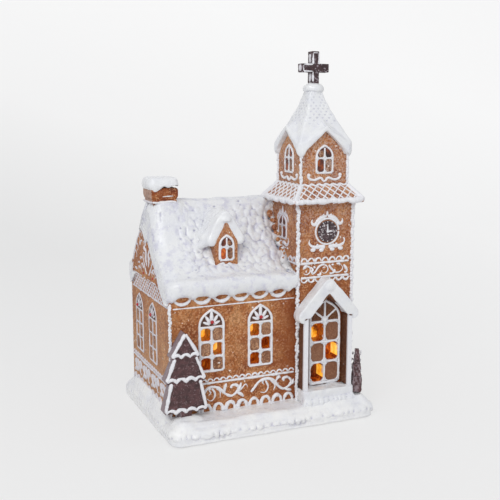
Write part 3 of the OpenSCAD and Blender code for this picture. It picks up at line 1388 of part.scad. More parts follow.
base_plinth();
base_pads();
base_cover();
cover_screws();
battery_tray();
battery_door();
battery_cells();
battery_contacts();
switch_housing();
switch_slider();
timer_board();
light_posts();
light_bulbs();
light_wires();
nave_walls();
nave_glazing();
nave_roof();
front_window_icing();
gable_window_icing();
back_window_icing();
eave_swags();
sill_scallops();
foot_scallops();
vine_scrolls();
gable_lattice();
gable_scrolls();
icing_berries();
nave_corner_beads();
dormer_walls();
dormer_roof();
dormer_window_icing();
chimney_stack();
chimney_snow();
tower_walls();
tower_corner_beads();
tower_scallops();
tower_scrolls();
tower_window_icing();
clock_dial();
clock_rim();
clock_hands();
skirt_roof();
skirt_icing();
skirt_lattice();
belfry_walls();
belfry_window_icing();
belfry_scrolls();
spire_roof();
spire_cap();
spire_cross();
porch_walls();
porch_pillars();
porch_roof();
door_frame();
door_glazing();
porch_step();
front_tree();
front_tree_icing();
side_tree();
side_tree_icing();
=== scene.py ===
import json
import math

import bpy
import numpy as np
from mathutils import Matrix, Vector


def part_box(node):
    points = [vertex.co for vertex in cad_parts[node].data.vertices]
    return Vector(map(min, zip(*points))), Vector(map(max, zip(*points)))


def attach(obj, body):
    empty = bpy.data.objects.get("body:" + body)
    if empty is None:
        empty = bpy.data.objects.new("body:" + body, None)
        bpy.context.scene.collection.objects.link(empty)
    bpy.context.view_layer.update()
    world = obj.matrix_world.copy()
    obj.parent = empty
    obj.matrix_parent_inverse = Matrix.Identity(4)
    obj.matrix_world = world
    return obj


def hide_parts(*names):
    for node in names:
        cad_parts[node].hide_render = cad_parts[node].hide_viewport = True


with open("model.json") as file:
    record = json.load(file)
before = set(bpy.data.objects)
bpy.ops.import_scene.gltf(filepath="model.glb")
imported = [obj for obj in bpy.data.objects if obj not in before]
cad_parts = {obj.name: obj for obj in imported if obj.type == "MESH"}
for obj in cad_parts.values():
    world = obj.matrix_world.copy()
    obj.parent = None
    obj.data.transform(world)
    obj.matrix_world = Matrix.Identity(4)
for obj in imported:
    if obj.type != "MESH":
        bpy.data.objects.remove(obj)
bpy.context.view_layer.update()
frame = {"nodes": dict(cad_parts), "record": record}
NODES = frame["nodes"]

# Lengths in this script are millimetres in the part's frame until a mesh is made.
MM = 0.001
BOX_LOW, BOX_HIGH = (-95.4, -79.0, 0.0), (95.4, 79.0, 320.0)
NAVE_X0, NAVE_X1, NAVE_Y0, NAVE_Y1 = -86.5, 81.6, -48.6, 68.1
RIDGE_Y = 9.75
TOWER_X0, TOWER_X1, TOWER_Y0, TOWER_Y1 = 28.3, 81.6, -52.7, 0.6
TOWER_CX, TOWER_CY = 54.95, -26.05
BELFRY_HALF, BELFRY_WINDOW = 22.6, (0, 215.5, 17.3, 25.4)
SKIRT_HALF, SKIRT_Z0, SKIRT_Z1 = 33.35, 194.0, 206.6
PORCH_CX, DOOR_CX = 53.08, 54.74
CLOCK_X, CLOCK_Z = 56.3, 165.9
DORMER_CX, DORMER_WINDOW = -31.2, (-31.15, 143.2, 14.1, 23)
CHIMNEY_Y = -2.9
# windows of the nave: centres along the wall and height of the foot
NAVE_WINDOWS = {"front": ((-50.1, -5.3), 51), "left": ((0.4, 42.4), 49.5), "back": ((-44.5, -2.4, 39.6), 51)}
NAVE_PANE_ROW, DOOR_PANE_ROW = 12.8, 18.4
SILL_Z, FRIEZE_Z, SWAG_Z = 41.5, 108.5, 118.4
GROUND_Z = 16
FRONT_TREE, SIDE_TREE, SIDE_TREE_ANGLE = (-77.2, -60.7), (86.7, -56.7), math.radians(64)
QUARTERS = ((1, 0), (0, 1), (-1, 0), (0, -1))
rng = np.random.default_rng(7)


def lin(hex_colour):
    """sRGB hex to linear RGBA."""
    out = []
    for i in (0, 2, 4):
        c = int(hex_colour[i:i + 2], 16) / 255
        out.append(c / 12.92 if c <= 0.04045 else ((c + 0.055) / 1.055) ** 2.4)
    return (*out, 1.0)


class Maker:
    """Short calls that add shader nodes to one material."""

    def __init__(self, name):
        self.mat = bpy.data.materials.new(name)
        self.mat.use_nodes = True
        self.tree = self.mat.node_tree
        self.tree.nodes.clear()
        self.out = self.new("OutputMaterial")
        self.coord = self.new("TexCoord").outputs["Object"]

    def new(self, kind, **inputs):
        node = self.tree.nodes.new("ShaderNode" + kind)
        for name, value in inputs.items():
            self.put(node.inputs[name.replace("_", " ")], value)
        return node

    def put(self, socket, value):
        if isinstance(value, bpy.types.NodeSocket):
            self.tree.links.new(value, socket)
        elif value is not None:
            socket.default_value = lin(value) if isinstance(value, str) else value

    def noise(self, size_mm, detail=3.0, rough=0.55, distortion=0.0):
        return self.new("TexNoise", Vector=self.coord, Scale=1000 / size_mm, Detail=detail, Roughness=rough,
                        Distortion=distortion).outputs["Fac"]

    def cells(self, size_mm, out="Color"):
        return self.new("TexVoronoi", Vector=self.coord, Scale=1000 / size_mm).outputs[out]

    def ramp(self, fac, *stops):
        node = self.new("ValToRGB", Fac=fac)
        elements = node.color_ramp.elements
        while len(elements) > 1:
            elements.remove(elements[-1])
        for i, (position, colour) in enumerate(stops):
            e = elements.new(position) if i else elements[0]
            e.position = position
            e.color = lin(colour) if isinstance(colour, str) else (colour, colour, colour, 1)
        return node.outputs["Color"]

    def mix(self, fac, a, b, blend="MIX"):
        node = self.new("Mix")
        node.data_type = "RGBA"
        node.blend_type = blend
        for name, value in (("Factor", fac), ("A", a), ("B", b)):
            self.put(node.inputs[name], value)
        return node.outputs["Result"]

    def math(self, operation, a, b, clamp=False):
        node = self.new("Math")
        node.operation = operation
        node.use_clamp = clamp
        self.put(node.inputs[0], a)
        self.put(node.inputs[1], b)
        return node.outputs[0]

    def times(self, a, b, clamp=False):
        return self.math("MULTIPLY", a, b, clamp)

    def axis(self, name, source=None):
        return self.new("SeparateXYZ", Vector=source or self.coord).outputs[name]

    def facing_left(self, start, end, most):
        """Rises to most on the faces that look along -X."""
        normal = self.new("TexCoord").outputs["Normal"]
        return self.ramp(self.times(self.axis("X", normal), -1.0), (start, 0.0), (end, most))

    def hollows(self, *stops):
        return self.ramp(self.new("NewGeometry").outputs["Pointiness"], *stops)

    def bump(self, height, strength, distance_mm, normal=None):
        return self.new("Bump", Strength=strength, Distance=distance_mm * MM, Height=height,
                        Normal=normal).outputs["Normal"]

    def surface(self, shader):
        self.tree.links.new(shader, self.out.inputs["Surface"])
        return self.mat

    def principled(self, base, rough, normal, **more):
        """The finished material."""
        return self.surface(self.new("BsdfPrincipled", Base_Color=base, Roughness=rough, Normal=normal,
                                     **more).outputs[0])


def mat_gingerbread(name, dark, mid, light, grain=1.0, dust_and_sheen=0.4, high=0.1, frosted=0.55):
    """Baked crumb: blotchy brown with pale sugar grains and fine pits.

    Pale dusting and painted sheen lie on the faces turned left; high is their share left high up. White
    sugar specks carry painted glints. Frost comes in over the upper half, and painted shade from the tower
    darkens the front towards it.
    """
    m = Maker(name)
    crumb, grains = m.noise(1.5, 4, 0.8), m.cells(1.1)
    tone = m.ramp(m.noise(13, 4, 0.6), (0.34, dark), (0.5, mid), (0.66, light))
    tone = m.mix(m.ramp(m.noise(36, 2), (0.44, 0.0), (0.62, 0.45)), tone, dark)
    tone = m.mix(m.ramp(crumb, (0.34, 0.9), (0.5, 0.0)), tone, m.mix(0.6, tone, "3e1c0c"))
    patches = m.ramp(m.noise(7, 3, 0.6), (0.36, 0.25), (0.6, 1.0))
    tone = m.mix(m.times(m.ramp(grains, (0.62, 0.0), (0.7, 0.62)), patches), tone, "e0ac80")
    tone = m.mix(m.ramp(grains, (0.24, 0.6), (0.3, 0.0)), tone, m.mix(0.6, tone, "5a240c"))
    # white sugar specks, partly painted glints
    glitter_and_glint = m.ramp(m.cells(1.4), (0.93, 0.0), (0.94, 0.95))
    tone = m.mix(glitter_and_glint, tone, "f6ece4")

    # pale dusting and painted sheen on the faces turned left, more of it low down
    low_down = m.ramp(m.times(m.axis("Z"), 5.0), (0.2, 1.0), (0.62, high))
    uneven = m.ramp(m.noise(3, 4, 0.65), (0.35, 0.3), (0.6, 1.0))
    dust_and_sheen_mask = m.times(m.times(m.facing_left(0.5, 0.9, dust_and_sheen), low_down), uneven)
    tone = m.mix(dust_and_sheen_mask, tone, "dcba94" if high < 0.5 else "cdb6a8")
    frost = m.ramp(m.times(m.axis("Z"), 4.0), (0.5, 0.0), (0.82, frosted))
    tone = m.mix(m.times(frost, m.ramp(m.noise(1.8, 3, 0.7), (0.46, 0.0), (0.58, 1.0))), tone, "d6bdb2")
    # painted shade from the tower: the front wall darkens towards the tower, below the eave
    shade = m.ramp(m.times(m.axis("X"), 20.0), (0.05, 0.0), (0.5, 0.75))
    shade = m.times(shade, m.ramp(m.times(m.axis("Y"), -20.0), (0.7, 0.0), (0.88, 1.0)))
    shade = m.times(shade, m.ramp(m.times(m.axis("Z"), 8.0), (0.8, 1.0), (0.98, 0.0)))
    tone = m.mix(shade, tone, dark)

    pits = m.ramp(m.cells(2.3, "Distance"), (0.04, 0.0), (0.2, 1.0))
    height = m.mix(1.0, m.ramp(crumb, (0.2, 0.0), (0.8, 1.0)), pits, "MULTIPLY")
    normal = m.bump(m.noise(4.5, 3), 0.5 * grain, 1.0, m.bump(height, 0.8 * grain, 0.45))
    rough = m.mix(glitter_and_glint, m.ramp(m.noise(3, 3), (0.3, 0.48), (0.7, 0.76)), (0.12, 0.12, 0.12, 1))
    return m.principled(tone, rough, normal, Specular_IOR_Level=0.4)


def mat_snow(name, base="edeeef", hollow_shade="bcbbd2", lump=3.6, grain=0.5, patchy_lavender_shade=0.1):
    """Poured snow glaze: soft lumps, painted lavender shade in the hollows and in random patches, and fine glitter with
    painted glints.
    """
    m = Maker(name)
    lumps, fine = m.noise(lump * 2.2, 4, 0.55), m.noise(1.1, 3, 0.6)
    tone = m.mix(m.ramp(m.noise(17, 3), (0.38, 0.0), (0.66, 0.5)), base, "e0e2ea")
    # painted lavender shade in random patches
    tone = m.mix(m.ramp(m.noise(7, 4, 0.6), (0.5, 0.0), (0.66, patchy_lavender_shade)), tone, "c4c3d8")
    # painted lavender shade in the hollows
    tone = m.mix(m.times(m.hollows((0.44, 1.0), (0.495, 0.0)), 0.75), tone, hollow_shade)
    tone = m.mix(m.ramp(fine, (0.62, 0.0), (0.8, 0.3)), tone, "f6f7f9")
    # white glitter flecks, partly painted glints
    glitter_and_glint = m.ramp(m.cells(1.1), (0.955, 0.0), (0.965, 1.0))
    tone = m.mix(glitter_and_glint, tone, "ffffff")
    rough = m.mix(glitter_and_glint, m.ramp(lumps, (0.3, 0.2), (0.7, 0.4)), (0.06, 0.06, 0.06, 1))
    normal = m.bump(fine, 0.6 * grain, 0.3, m.bump(lumps, 0.3 + 0.2 * grain, 1.1))
    return m.principled(tone, rough, normal, Specular_IOR_Level=0.55)


def mat_icing(name):
    """Hardened piping: off-white, with painted grey shade in its hollows."""
    m = Maker(name)
    # painted grey shade in the hollows
    tone = m.mix(m.hollows((0.43, 0.55), (0.5, 0.0)), "ededf1", "b9b0bb")
    tone = m.mix(m.ramp(m.noise(2.3, 3), (0.55, 0.0), (0.75, 0.35)), tone, "d8d3dc")
    rough = m.ramp(m.noise(2, 2), (0.3, 0.26), (0.7, 0.46))
    return m.principled(tone, rough, m.bump(m.noise(1.3, 3), 0.42, 0.35), Specular_IOR_Level=0.6)


def mat_chocolate(name, dark, mid, frost, grains=0.5, dust_and_sheen=0.0):
    """Dark cast chocolate with sugar crystals, and pale dusting with painted sheen on the faces turned left."""
    m = Maker(name)
    tone = m.ramp(m.noise(5, 4), (0.32, dark), (0.68, mid))
    uneven = m.ramp(m.noise(3, 4, 0.6), (0.3, 0.6), (0.6, 1.0))
    # pale dusting with painted sheen on the faces turned left
    tone = m.mix(m.times(m.facing_left(0.3, 0.65, dust_and_sheen), uneven), tone, "b3a4aa")
    sugar = m.ramp(m.cells(1.0), (0.72, 0.0), (0.78, grains))
    tone = m.mix(m.times(sugar, m.ramp(m.noise(6, 3), (0.42, 0.15), (0.62, 1.0))), tone, frost)
    normal = m.bump(m.noise(4, 2), 0.5, 0.8, m.bump(m.noise(1.2, 4, 0.65), 0.8, 0.4))
    rough = m.mix(sugar, m.ramp(m.noise(3, 2), (0.3, 0.5), (0.7, 0.7)), (0.2, 0.2, 0.2, 1))
    return m.principled(tone, rough, normal)


def mat_amber(name, dark, mid, bright, level, size=7.0):
    """Lit amber: emission paints the LEDs' light as a cloudy glow that fades into deep orange."""
    m = Maker(name)
    cloud = m.times(m.noise(size, 3, 0.5, 0.4), 0.8)
    glow = m.math("ADD", cloud, m.times(m.noise(size * 3, 1), 0.3))
    tone = m.ramp(glow, (0.42, dark), (0.56, mid), (0.7, bright))
    rough = m.ramp(m.noise(3, 2), (0.3, 0.2), (0.7, 0.4))
    return m.principled(tone, rough, m.bump(m.noise(2.5, 2), 0.4, 0.4), Emission_Color=tone, Emission_Strength=level)


def mat_plain(name, colour, rough, metal=0.0, grain=0.8, depth=0.15, wear="808080", **more):
    """Moulded plastic, metal, felt or board with fine grain and handling wear."""
    m = Maker(name)
    tone = m.mix(m.ramp(m.noise(14, 4), (0.5, 0.0), (0.75, 0.25)), colour, wear)
    tone = m.mix(m.ramp(m.noise(2.2, 4, 0.7), (0.55, 0.0), (0.72, 0.18)), tone, wear)
    worn = m.ramp(m.noise(6, 3), (0.3, max(rough - 0.1, 0.05)), (0.7, min(rough + 0.12, 1)))
    return m.principled(tone, worn, m.bump(m.noise(grain, 3), 0.35, depth), Metallic=metal, **more)


# one material for each slot of the record
MAT = {
    "gingerbread": mat_gingerbread("gingerbread_baked", "924b22", "b56f3a", "ca8f5c"),
    "snow": mat_snow("snow_glaze"),
    "icing": mat_icing("icing_white"),
    "chocolate": mat_chocolate("chocolate_dark", "2b1a1b", "4a3236", "c9bcc6", 0.7),
    "amber": mat_amber("amber_lit", "d88a1c", "f2b23c", "ffd270", 0.85),
    "berry": mat_plain("berry_red", "b3232a", 0.22, wear="6d0f16"),
    "black_plastic": mat_plain("black_plastic", "1a1a1c", 0.5, wear="3c3c40"),
    "white_plastic": mat_plain("white_plastic", "dedcd6", 0.35, wear="b8b4aa"),
    "bulb": mat_plain("bulb_lens", "ffd9a0", 0.15, Emission_Color="ffc070", Emission_Strength=1.0),
    "steel": mat_plain("steel_plated", "b8babd", 0.28, 1.0, wear="7d7f84"),
    "felt": mat_plain("felt_dark", "3a3532", 0.9, grain=0.5, depth=0.4, wear="5a5450"),
    "cell": mat_plain("cell_sleeve", "8a5a2a", 0.3, 0.4, wear="55361a"),
    "board": mat_plain("board_green", "14502c", 0.35, wear="0b3018"),
    "wire": mat_plain("wire_red", "8a1a18", 0.35, wear="5a100f"),
}
# variants of the baked, snow, chocolate and amber materials
MAT_TAUPE = mat_gingerbread("sugar_pane", "83553c", "a47659", "bb957a", 0.9, 0.0)
MAT_PANE = mat_gingerbread("baked_pane", "5e3318", "83502c", "a87a52", 0.9, 0.0)
# darker bread for the porch walls: painted shade on the jambs
MAT_JAMB_SHADE = mat_gingerbread("jamb_painted_shade", "58301b", "784527", "8f5b38", 0.8, 0.0)
MAT_CHIMNEY = mat_gingerbread("baked_chimney", "6e3214", "93491f", "a9632f", 0.7, 0.85, 0.85, 0.0)
MAT_SHINGLE = mat_snow("snow_shingles", "ebeced", "9593b4", 2.2, 1.0, 0.55)
MAT_GROUND = mat_snow("snow_ground", "f6f6f5", "b4b3cc", 3.6, 0.5, 0.15)
# dark plate for the window heads: painted shade of the recessed head
MAT_HEAD_SHADE = mat_chocolate("head_painted_shade", "36190f", "5c321d", "a98a74", 0.4)
MAT_DIAL = mat_chocolate("dial_frosted", "2f2226", "564246", "f4eef0", 1.0)
MAT_TREE = mat_chocolate("tree_chocolate", "3a2425", "613f41", "a58d90", 0.5, 0.6)
# emissive copies: painted glow on the baked reveals, and dimmer, streaked and dark painted glow of the light inside
MAT_REVEAL_GLOW = mat_amber("reveal_painted_glow", "6a2207", "9c430d", "c0651a", 0.28, 4.0)
MAT_AMBER_DEEP = mat_amber("amber_deep", "7c2c08", "b4540f", "dc8420", 0.4, 4.5)
MAT_STREAK = mat_amber("amber_streaked", "6a2c08", "e89a20", "ffd060", 0.8, 5.5)
MAT_AMBER_DARK = mat_amber("amber_dark", "2e0f06", "5e2409", "9a4812", 0.12, 5.0)


def mesh_object(name, verts_mm, faces, material, smooth=True):
    mesh = bpy.data.meshes.new(name)
    mesh.from_pydata((np.asarray(verts_mm, float) * MM).tolist(), [], [list(map(int, f)) for f in faces])
    mesh.update()
    obj = bpy.data.objects.new(name, mesh)
    bpy.context.scene.collection.objects.link(obj)
    mesh.materials.append(material)
    if smooth:
        mesh.polygons.foreach_set("use_smooth", [True] * len(mesh.polygons))
    return obj


def finish_piece(obj, node):
    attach(obj, "house")
    if node:
        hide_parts(node)
    return obj


def join_parts(parts):
    """One (verts, faces) from several."""
    verts, faces, n = [], [], 0
    for v, f in parts:
        verts.append(np.asarray(v, float).reshape(-1, 3))
        faces.extend([tuple(i + n for i in q) for q in f])
        n += len(verts[-1])
    return np.concatenate(verts), faces


def piece(name, parts, node=None, material=None, smooth=True):
    """A visible piece of the house from its parts, kept in the CAD's box. It replaces node, if there is one."""
    verts, faces = join_parts(parts)
    verts = np.clip(verts, BOX_LOW, BOX_HIGH)
    return finish_piece(mesh_object(name, verts, faces, material or MAT["icing"], smooth), node)


def lattice_value(ix, iy, iz, seed):
    """Repeatable value from 0 to 1 for whole numbers."""
    h = (ix * 374761393 + iy * 668265263 + iz * 2147483647 + seed * 1274126177) & 0xFFFFFFFF
    h = ((h ^ (h >> 13)) * 1274126177) & 0xFFFFFFFF
    return ((h ^ (h >> 16)) & 0xFFFF) / 65535.0


def value_noise(p, size, seed):
    """Smooth noise from -1 to 1 at points p in mm."""
    q = np.asarray(p, float) / size
    i = np.floor(q).astype(np.int64)
    f = q - i
    f = f * f * (3 - 2 * f)
    out = 0
    for corner in np.ndindex(2, 2, 2):
        weight = np.prod(np.where(corner, f, 1 - f), axis=1)
        out = out + weight * lattice_value(*(i + corner).T, seed)
    return out * 2 - 1


def snow_noise(co, big, small, a, b, seed):
    return a * value_noise(co, big, seed) + b * value_noise(co, small, seed + 9)


def smoothstep(a, b, x):
    """0 up to a, 1 from b on."""
    t = np.clip((x - a) / (b - a), 0, 1)
    return t * t * (3 - 2 * t)


def fade(a, b, x):
    """1 up to a, 0 from b on."""
    return 1 - smoothstep(a, b, x)


def peak(x, middle, width):
    return np.exp(-((x - middle) / width) ** 2)


def read_points(mesh, what="co"):
    """Positions in mm, or normals, of a mesh's vertices."""
    out = np.zeros(len(mesh.vertices) * 3, np.float32)
    mesh.vertices.foreach_get(what, out)
    return out.reshape(-1, 3).astype(float) / (MM if what == "co" else 1)


def blob(center, radii, rings=10, around=14):
    """Closed ellipsoid as (verts, faces)."""
    (x, y, z), (rx, ry, rz) = center, radii
    verts, faces = [(x, y, z + rz)], []
    for i in range(1, rings):
        a = math.pi * i / rings
        for j in range(around):
            b = 2 * math.pi * j / around
            verts.append((x + rx * math.sin(a) * math.cos(b), y + ry * math.sin(a) * math.sin(b),
                          z + rz * math.cos(a)))
    verts.append((x, y, z - rz))
    last = len(verts) - 1
    for j in range(around):
        k = (j + 1) % around
        faces.append((0, 1 + j, 1 + k))
        faces.append((last, last - around + k, last - around + j))
        for i in range(rings - 2):
            a, b = 1 + i * around, 1 + (i + 1) * around
            faces.append((a + j, b + j, b + k, a + k))
    return verts, faces


def rod(start, end, r0, r1=None):
    """Closed bar with round ends between two points."""
    around, rings = 16, 5
    a, b = np.array(start, float), np.array(end, float)
    r1 = r0 if r1 is None else r1
    d = (b - a) / np.linalg.norm(b - a)
    u = np.cross(d, (0, 0, 1.0) if abs(d[2]) < 0.9 else (1.0, 0, 0))
    u /= np.linalg.norm(u)
    w = np.cross(d, u)
    quarter = np.linspace(0, math.pi / 2, rings)
    loops = [(a - d * r0 * math.cos(t), r0 * math.sin(t)) for t in quarter[1:]]
    loops += [(b + d * r1 * math.sin(t), r1 * math.cos(t)) for t in quarter[:-1]]
    turn = np.linspace(0, math.pi * 2, around, endpoint=False)
    verts = [a - d * r0]
    for c, r in loops:
        verts += [c + u * r * math.cos(q) + w * r * math.sin(q) for q in turn]
    verts.append(b + d * r1)
    last, faces = len(verts) - 1, []
    for j in range(around):
        k = (j + 1) % around
        faces += [(0, 1 + k, 1 + j), (last, last - around + j, last - around + k)]
        for i in range(len(loops) - 1):
            p, q = 1 + i * around, 1 + (i + 1) * around
            faces.append((p + j, p + k, q + k, q + j))
    return verts, faces


def remeshed(name, node, extras, voxel, smooth_steps, material, shape, grow=0.0):
    """The CAD node and any added lumps as one rounded mass, then shaped point by point."""
    source = NODES[node].data
    parts = [(read_points(source), [tuple(p.vertices) for p in source.polygons])] + extras
    obj = mesh_object(name, *join_parts(parts), material)
    mod = obj.modifiers.new("mass", "REMESH")
    mod.mode = "VOXEL"
    mod.voxel_size = voxel * MM
    soft = obj.modifiers.new("soften", "SMOOTH")
    soft.factor = 0.5
    soft.iterations = smooth_steps
    done = bpy.data.meshes.new_from_object(obj.evaluated_get(bpy.context.evaluated_depsgraph_get()))
    obj.modifiers.clear()
    rough = obj.data
    obj.data = done
    bpy.data.meshes.remove(rough)
    done.name = name
    if not done.materials:
        done.materials.append(material)
    co = shape(read_points(done), read_points(done, "normal"))
    lo, hi = (np.array(v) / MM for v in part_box(node))
    for v, _ in extras:
        v = np.asarray(v).reshape(-1, 3)
        lo, hi = np.minimum(lo, v.min(0)), np.maximum(hi, v.max(0))
    co = np.clip(co, np.maximum(lo - grow, BOX_LOW), np.minimum(hi + grow, BOX_HIGH))
    done.vertices.foreach_set("co", (co * MM).astype(np.float32).ravel())
    done.update()
    done.polygons.foreach_set("use_smooth", [True] * len(done.polygons))
    return finish_piece(obj, node)


def plane(origin, u, n, v=(0, 0, 1)):
    """A flat ground for piping: origin, u axis, normal and v axis."""
    return tuple(np.array(a, float) for a in (origin, u, n, v))


def front_plane(y, x=0, z=0):
    return plane((x, y, z), (1, 0, 0), (0, -1, 0))


def left_plane(x, y=0):
    return plane((x, y, 0), (0, 1, 0), (-1, 0, 0))


WALLS = {
    "front": front_plane(NAVE_Y0),
    "left": left_plane(NAVE_X0),
    "back": plane((0, NAVE_Y1, 0), (1, 0, 0), (0, 1, 0)),
    "right": plane((NAVE_X1, 0, 0), (0, 1, 0), (1, 0, 0)),
    "tower_front": front_plane(TOWER_Y0),
    "tower_left": left_plane(TOWER_X0),
    "tower_right": plane((TOWER_X1, 0, 0), (0, 1, 0), (1, 0, 0)),
    "dormer": front_plane(-36.2),
}


def wall_frame(wall):
    return WALLS[wall] if isinstance(wall, str) else wall


def belfry_walls():
    """The four sides of the belfry."""
    for ux, uy in QUARTERS:
        out = (uy, -ux, 0)
        yield plane((TOWER_CX + out[0] * BELFRY_HALF, TOWER_CY + out[1] * BELFRY_HALF, 0), (ux, uy, 0), out)


def resample(points, curve):
    """Even points along a smooth curve through the given ones, and the length run at each."""
    step = 0.65
    p = np.asarray(points, float)
    if curve and len(p) > 2:
        q = np.vstack([2 * p[0] - p[1], p, 2 * p[-1] - p[-2]])
        fine = []
        for i in range(len(p) - 1):
            a, b, c, d = q[i:i + 4]
            for t in np.linspace(0, 1, 12, endpoint=False):
                fine.append(0.5 * (2 * b + (c - a) * t + (2 * a - 5 * b + 4 * c - d) * t * t
                                   + (3 * b - a - 3 * c + d) * t ** 3))
        fine.append(p[-1])
        p = np.array(fine)
    run = np.concatenate([[0], np.cumsum(np.linalg.norm(np.diff(p, axis=0), axis=1))])
    s = np.linspace(0, run[-1], max(int(run[-1] / step), 3) + 1)
    return np.stack([np.interp(s, run, p[:, k]) for k in range(p.shape[1])], axis=1), s


# share of the full width along a piped line, for f from 0 to 1
TAPERS = {
    "even": lambda f: 1.0,
    "out": lambda f: 1 - 0.62 * f,
    "leaf": lambda f: 0.35 + 0.9 * np.sin(np.pi * np.clip(f * 0.85 + 0.1, 0, 1)),
    "swag": lambda f: 0.62 + 0.5 * np.sin(np.pi * f) ** 1.3,
}


def tube(points, width, height, wall, taper="even", curve=True, sink=0.35, wobble=0.12, lift=0.0):
    """Piped line on a wall: a swept round of uneven width with rounded ends, sunk by a share of its height."""
    sides = 10
    p, s = resample(points, curve)
    total = s[-1]
    origin, u, n, v = wall_frame(wall)
    t = np.gradient(p, axis=0)
    t /= np.maximum(np.linalg.norm(t, axis=1, keepdims=True), 1e-9)
    side = np.stack([-t[:, 1], t[:, 0]], axis=1)
    end = np.minimum(s, total - s) / (width / 2)
    cap = np.sqrt(np.clip(1 - (1 - np.clip(end, 0, 1)) ** 2, 0.0, 1))
    cap = cap * TAPERS[taper](s / max(total, 1e-9))
    phase = rng.uniform(0, 100)
    w3 = np.stack([s / 3.1 + phase, s * 0, s * 0], axis=1)
    cap = cap * (1 + wobble * value_noise(w3, 1.0, 3) + 0.5 * wobble * value_noise(w3 * 2.7, 1.0, 5))
    cap = np.maximum(cap, 0.04)
    rows = []
    for k in range(sides):
        a = 2 * math.pi * k / sides
        uv = p + side * (math.cos(a) * width / 2 * cap)[:, None]
        h = (math.sin(a) * cap * height) - sink * height + lift
        rows.append(origin + uv[:, :1] * u + uv[:, 1:2] * v + h[:, None] * n)
    last = len(p) - 1
    faces = []
    for i in range(last):
        for k in range(sides):
            a, b = i * sides + k, i * sides + (k + 1) % sides
            faces.append((a, b, b + sides, a + sides))
    faces.append(tuple(range(sides))[::-1])
    faces.append(tuple(last * sides + k for k in range(sides)))
    return np.stack(rows, axis=1).reshape(-1, 3), faces


def straight(a, b, width, height, wall, **more):
    return tube([a, b], width, height, wall, curve=False, **more)


def line(u0, u1, v, width, height, wall):
    """Level line of uneven width."""
    return straight((u0, v), (u1, v), width, height, wall, wobble=0.25)


def dab(u, v, r, wall, height, lift=0.0):
    origin, ua, n, va = wall_frame(wall)
    c = origin + ua * u + va * v + n * lift
    bv, bf = blob((0, 0, 0), (1, 1, 1), 6, 10)
    bv = np.array(bv)
    return c + bv[:, :1] * ua * r + bv[:, 1:2] * va * r + bv[:, 2:] * n * height, bf


def extruded(loop, wall, front, back):
    """Closed plate of an outline, from depth front to depth back behind the wall."""
    origin, ua, n, va = wall_frame(wall)
    verts = [origin + ua * x + va * y - n * d for d in (front, back) for x, y in loop]
    k = len(loop)
    faces = [tuple(range(k)), tuple(range(k, 2 * k))[::-1]]
    faces += [(i, k + i, k + (i + 1) % k, (i + 1) % k) for i in range(k)]
    return verts, faces


def arc(cx, cy, r, a0, a1, squash=1.0, n=13):
    a = np.radians(np.linspace(a0, a1, n))
    return [(cx + r * math.cos(t), cy + squash * r * math.sin(t)) for t in a]


def bow(t, round_share=0.45):
    """Half width of a pointed head at share t of its rise."""
    pointed = 1 - t ** 1.9
    rounded = math.sqrt(max(1 - t * t * 0.98, 0)) * (1 - t ** 6)
    return (1 - round_share) * pointed + round_share * rounded


def arch_outline(cx, foot, w, spring, apex, n=9, round_share=0.45):
    """Pointed arch from the left foot over the point to the right foot."""
    right = [(w / 2, foot)]
    right += [(w / 2 * bow(i / n, round_share), spring + (apex - spring) * i / n) for i in range(n + 1)]
    return [(cx - x, y) for x, y in right] + [(cx + x, y) for x, y in right[::-1][1:]]


def arch_loop(cx, foot, w, spring, rise):
    """Closed outline of a pointed head: flat foot, short sides and two bowed edges."""
    n = 10
    right = [(w / 2 * bow(i / n), foot + spring + rise * i / n) for i in range(1, n + 1)]
    return ([(cx - w / 2, foot), (cx + w / 2, foot)] + [(cx + x, y) for x, y in right]
            + [(cx - x, y) for x, y in right[::-1][1:]] + [(cx - w / 2, foot + spring)])


def rough_strip(x, y, z0, z1, half):
    """Granular icing pressed along an upright corner: many small dabs of uneven size."""
    out, z = [], z0
    while z < z1:
        for _ in range(2):
            dx, dy = rng.uniform(-half, half) * 0.55, rng.uniform(-half, half) * 0.55
            r = rng.uniform(0.45, 0.85) * half
            centre = (x + dx, y + dy, min(z + rng.uniform(-0.5, 0.5), z1))
            out.append(blob(centre, (r, r, r * rng.uniform(0.9, 1.5)), 6, 9))
        z += half * 0.55
    return out


def piped(rows, wall, height, bold=1.0, side=1, centre=0.0, **more):
    """Lines from rows of points, width and taper, mirrored about centre where side is -1."""
    return [tube([(centre + side * (u - centre), v) for u, v in points], width * bold, height, wall, taper, **more)
            for points, width, taper in rows]


def spread(u0, u1, pitch):
    """Even centres along a stretch, about a pitch apart, and their true distance."""
    n = max(int(round((u1 - u0) / pitch)), 1)
    step = (u1 - u0) / n
    return [u0 + step * (i + 0.5) for i in range(n)], step


def fillets(u0, u1, v0, v1, r, wall, height):
    """Rounded inner corners of one pane."""
    parts = []
    for u, du in ((u0, 1), (u1, -1)):
        for v, dv in ((v0, 1), (v1, -1)):
            loop = [(u - du * 0.5, v - dv * 0.5)]
            for k in range(6):
                t = math.pi / 2 * k / 5
                loop.append((u + du * r * (1 - math.sin(t)), v + dv * r * (1 - math.cos(t))))
            if du * dv < 0:
                loop.reverse()
            parts.append(extruded(loop, wall, -height, 0.3))
    return parts


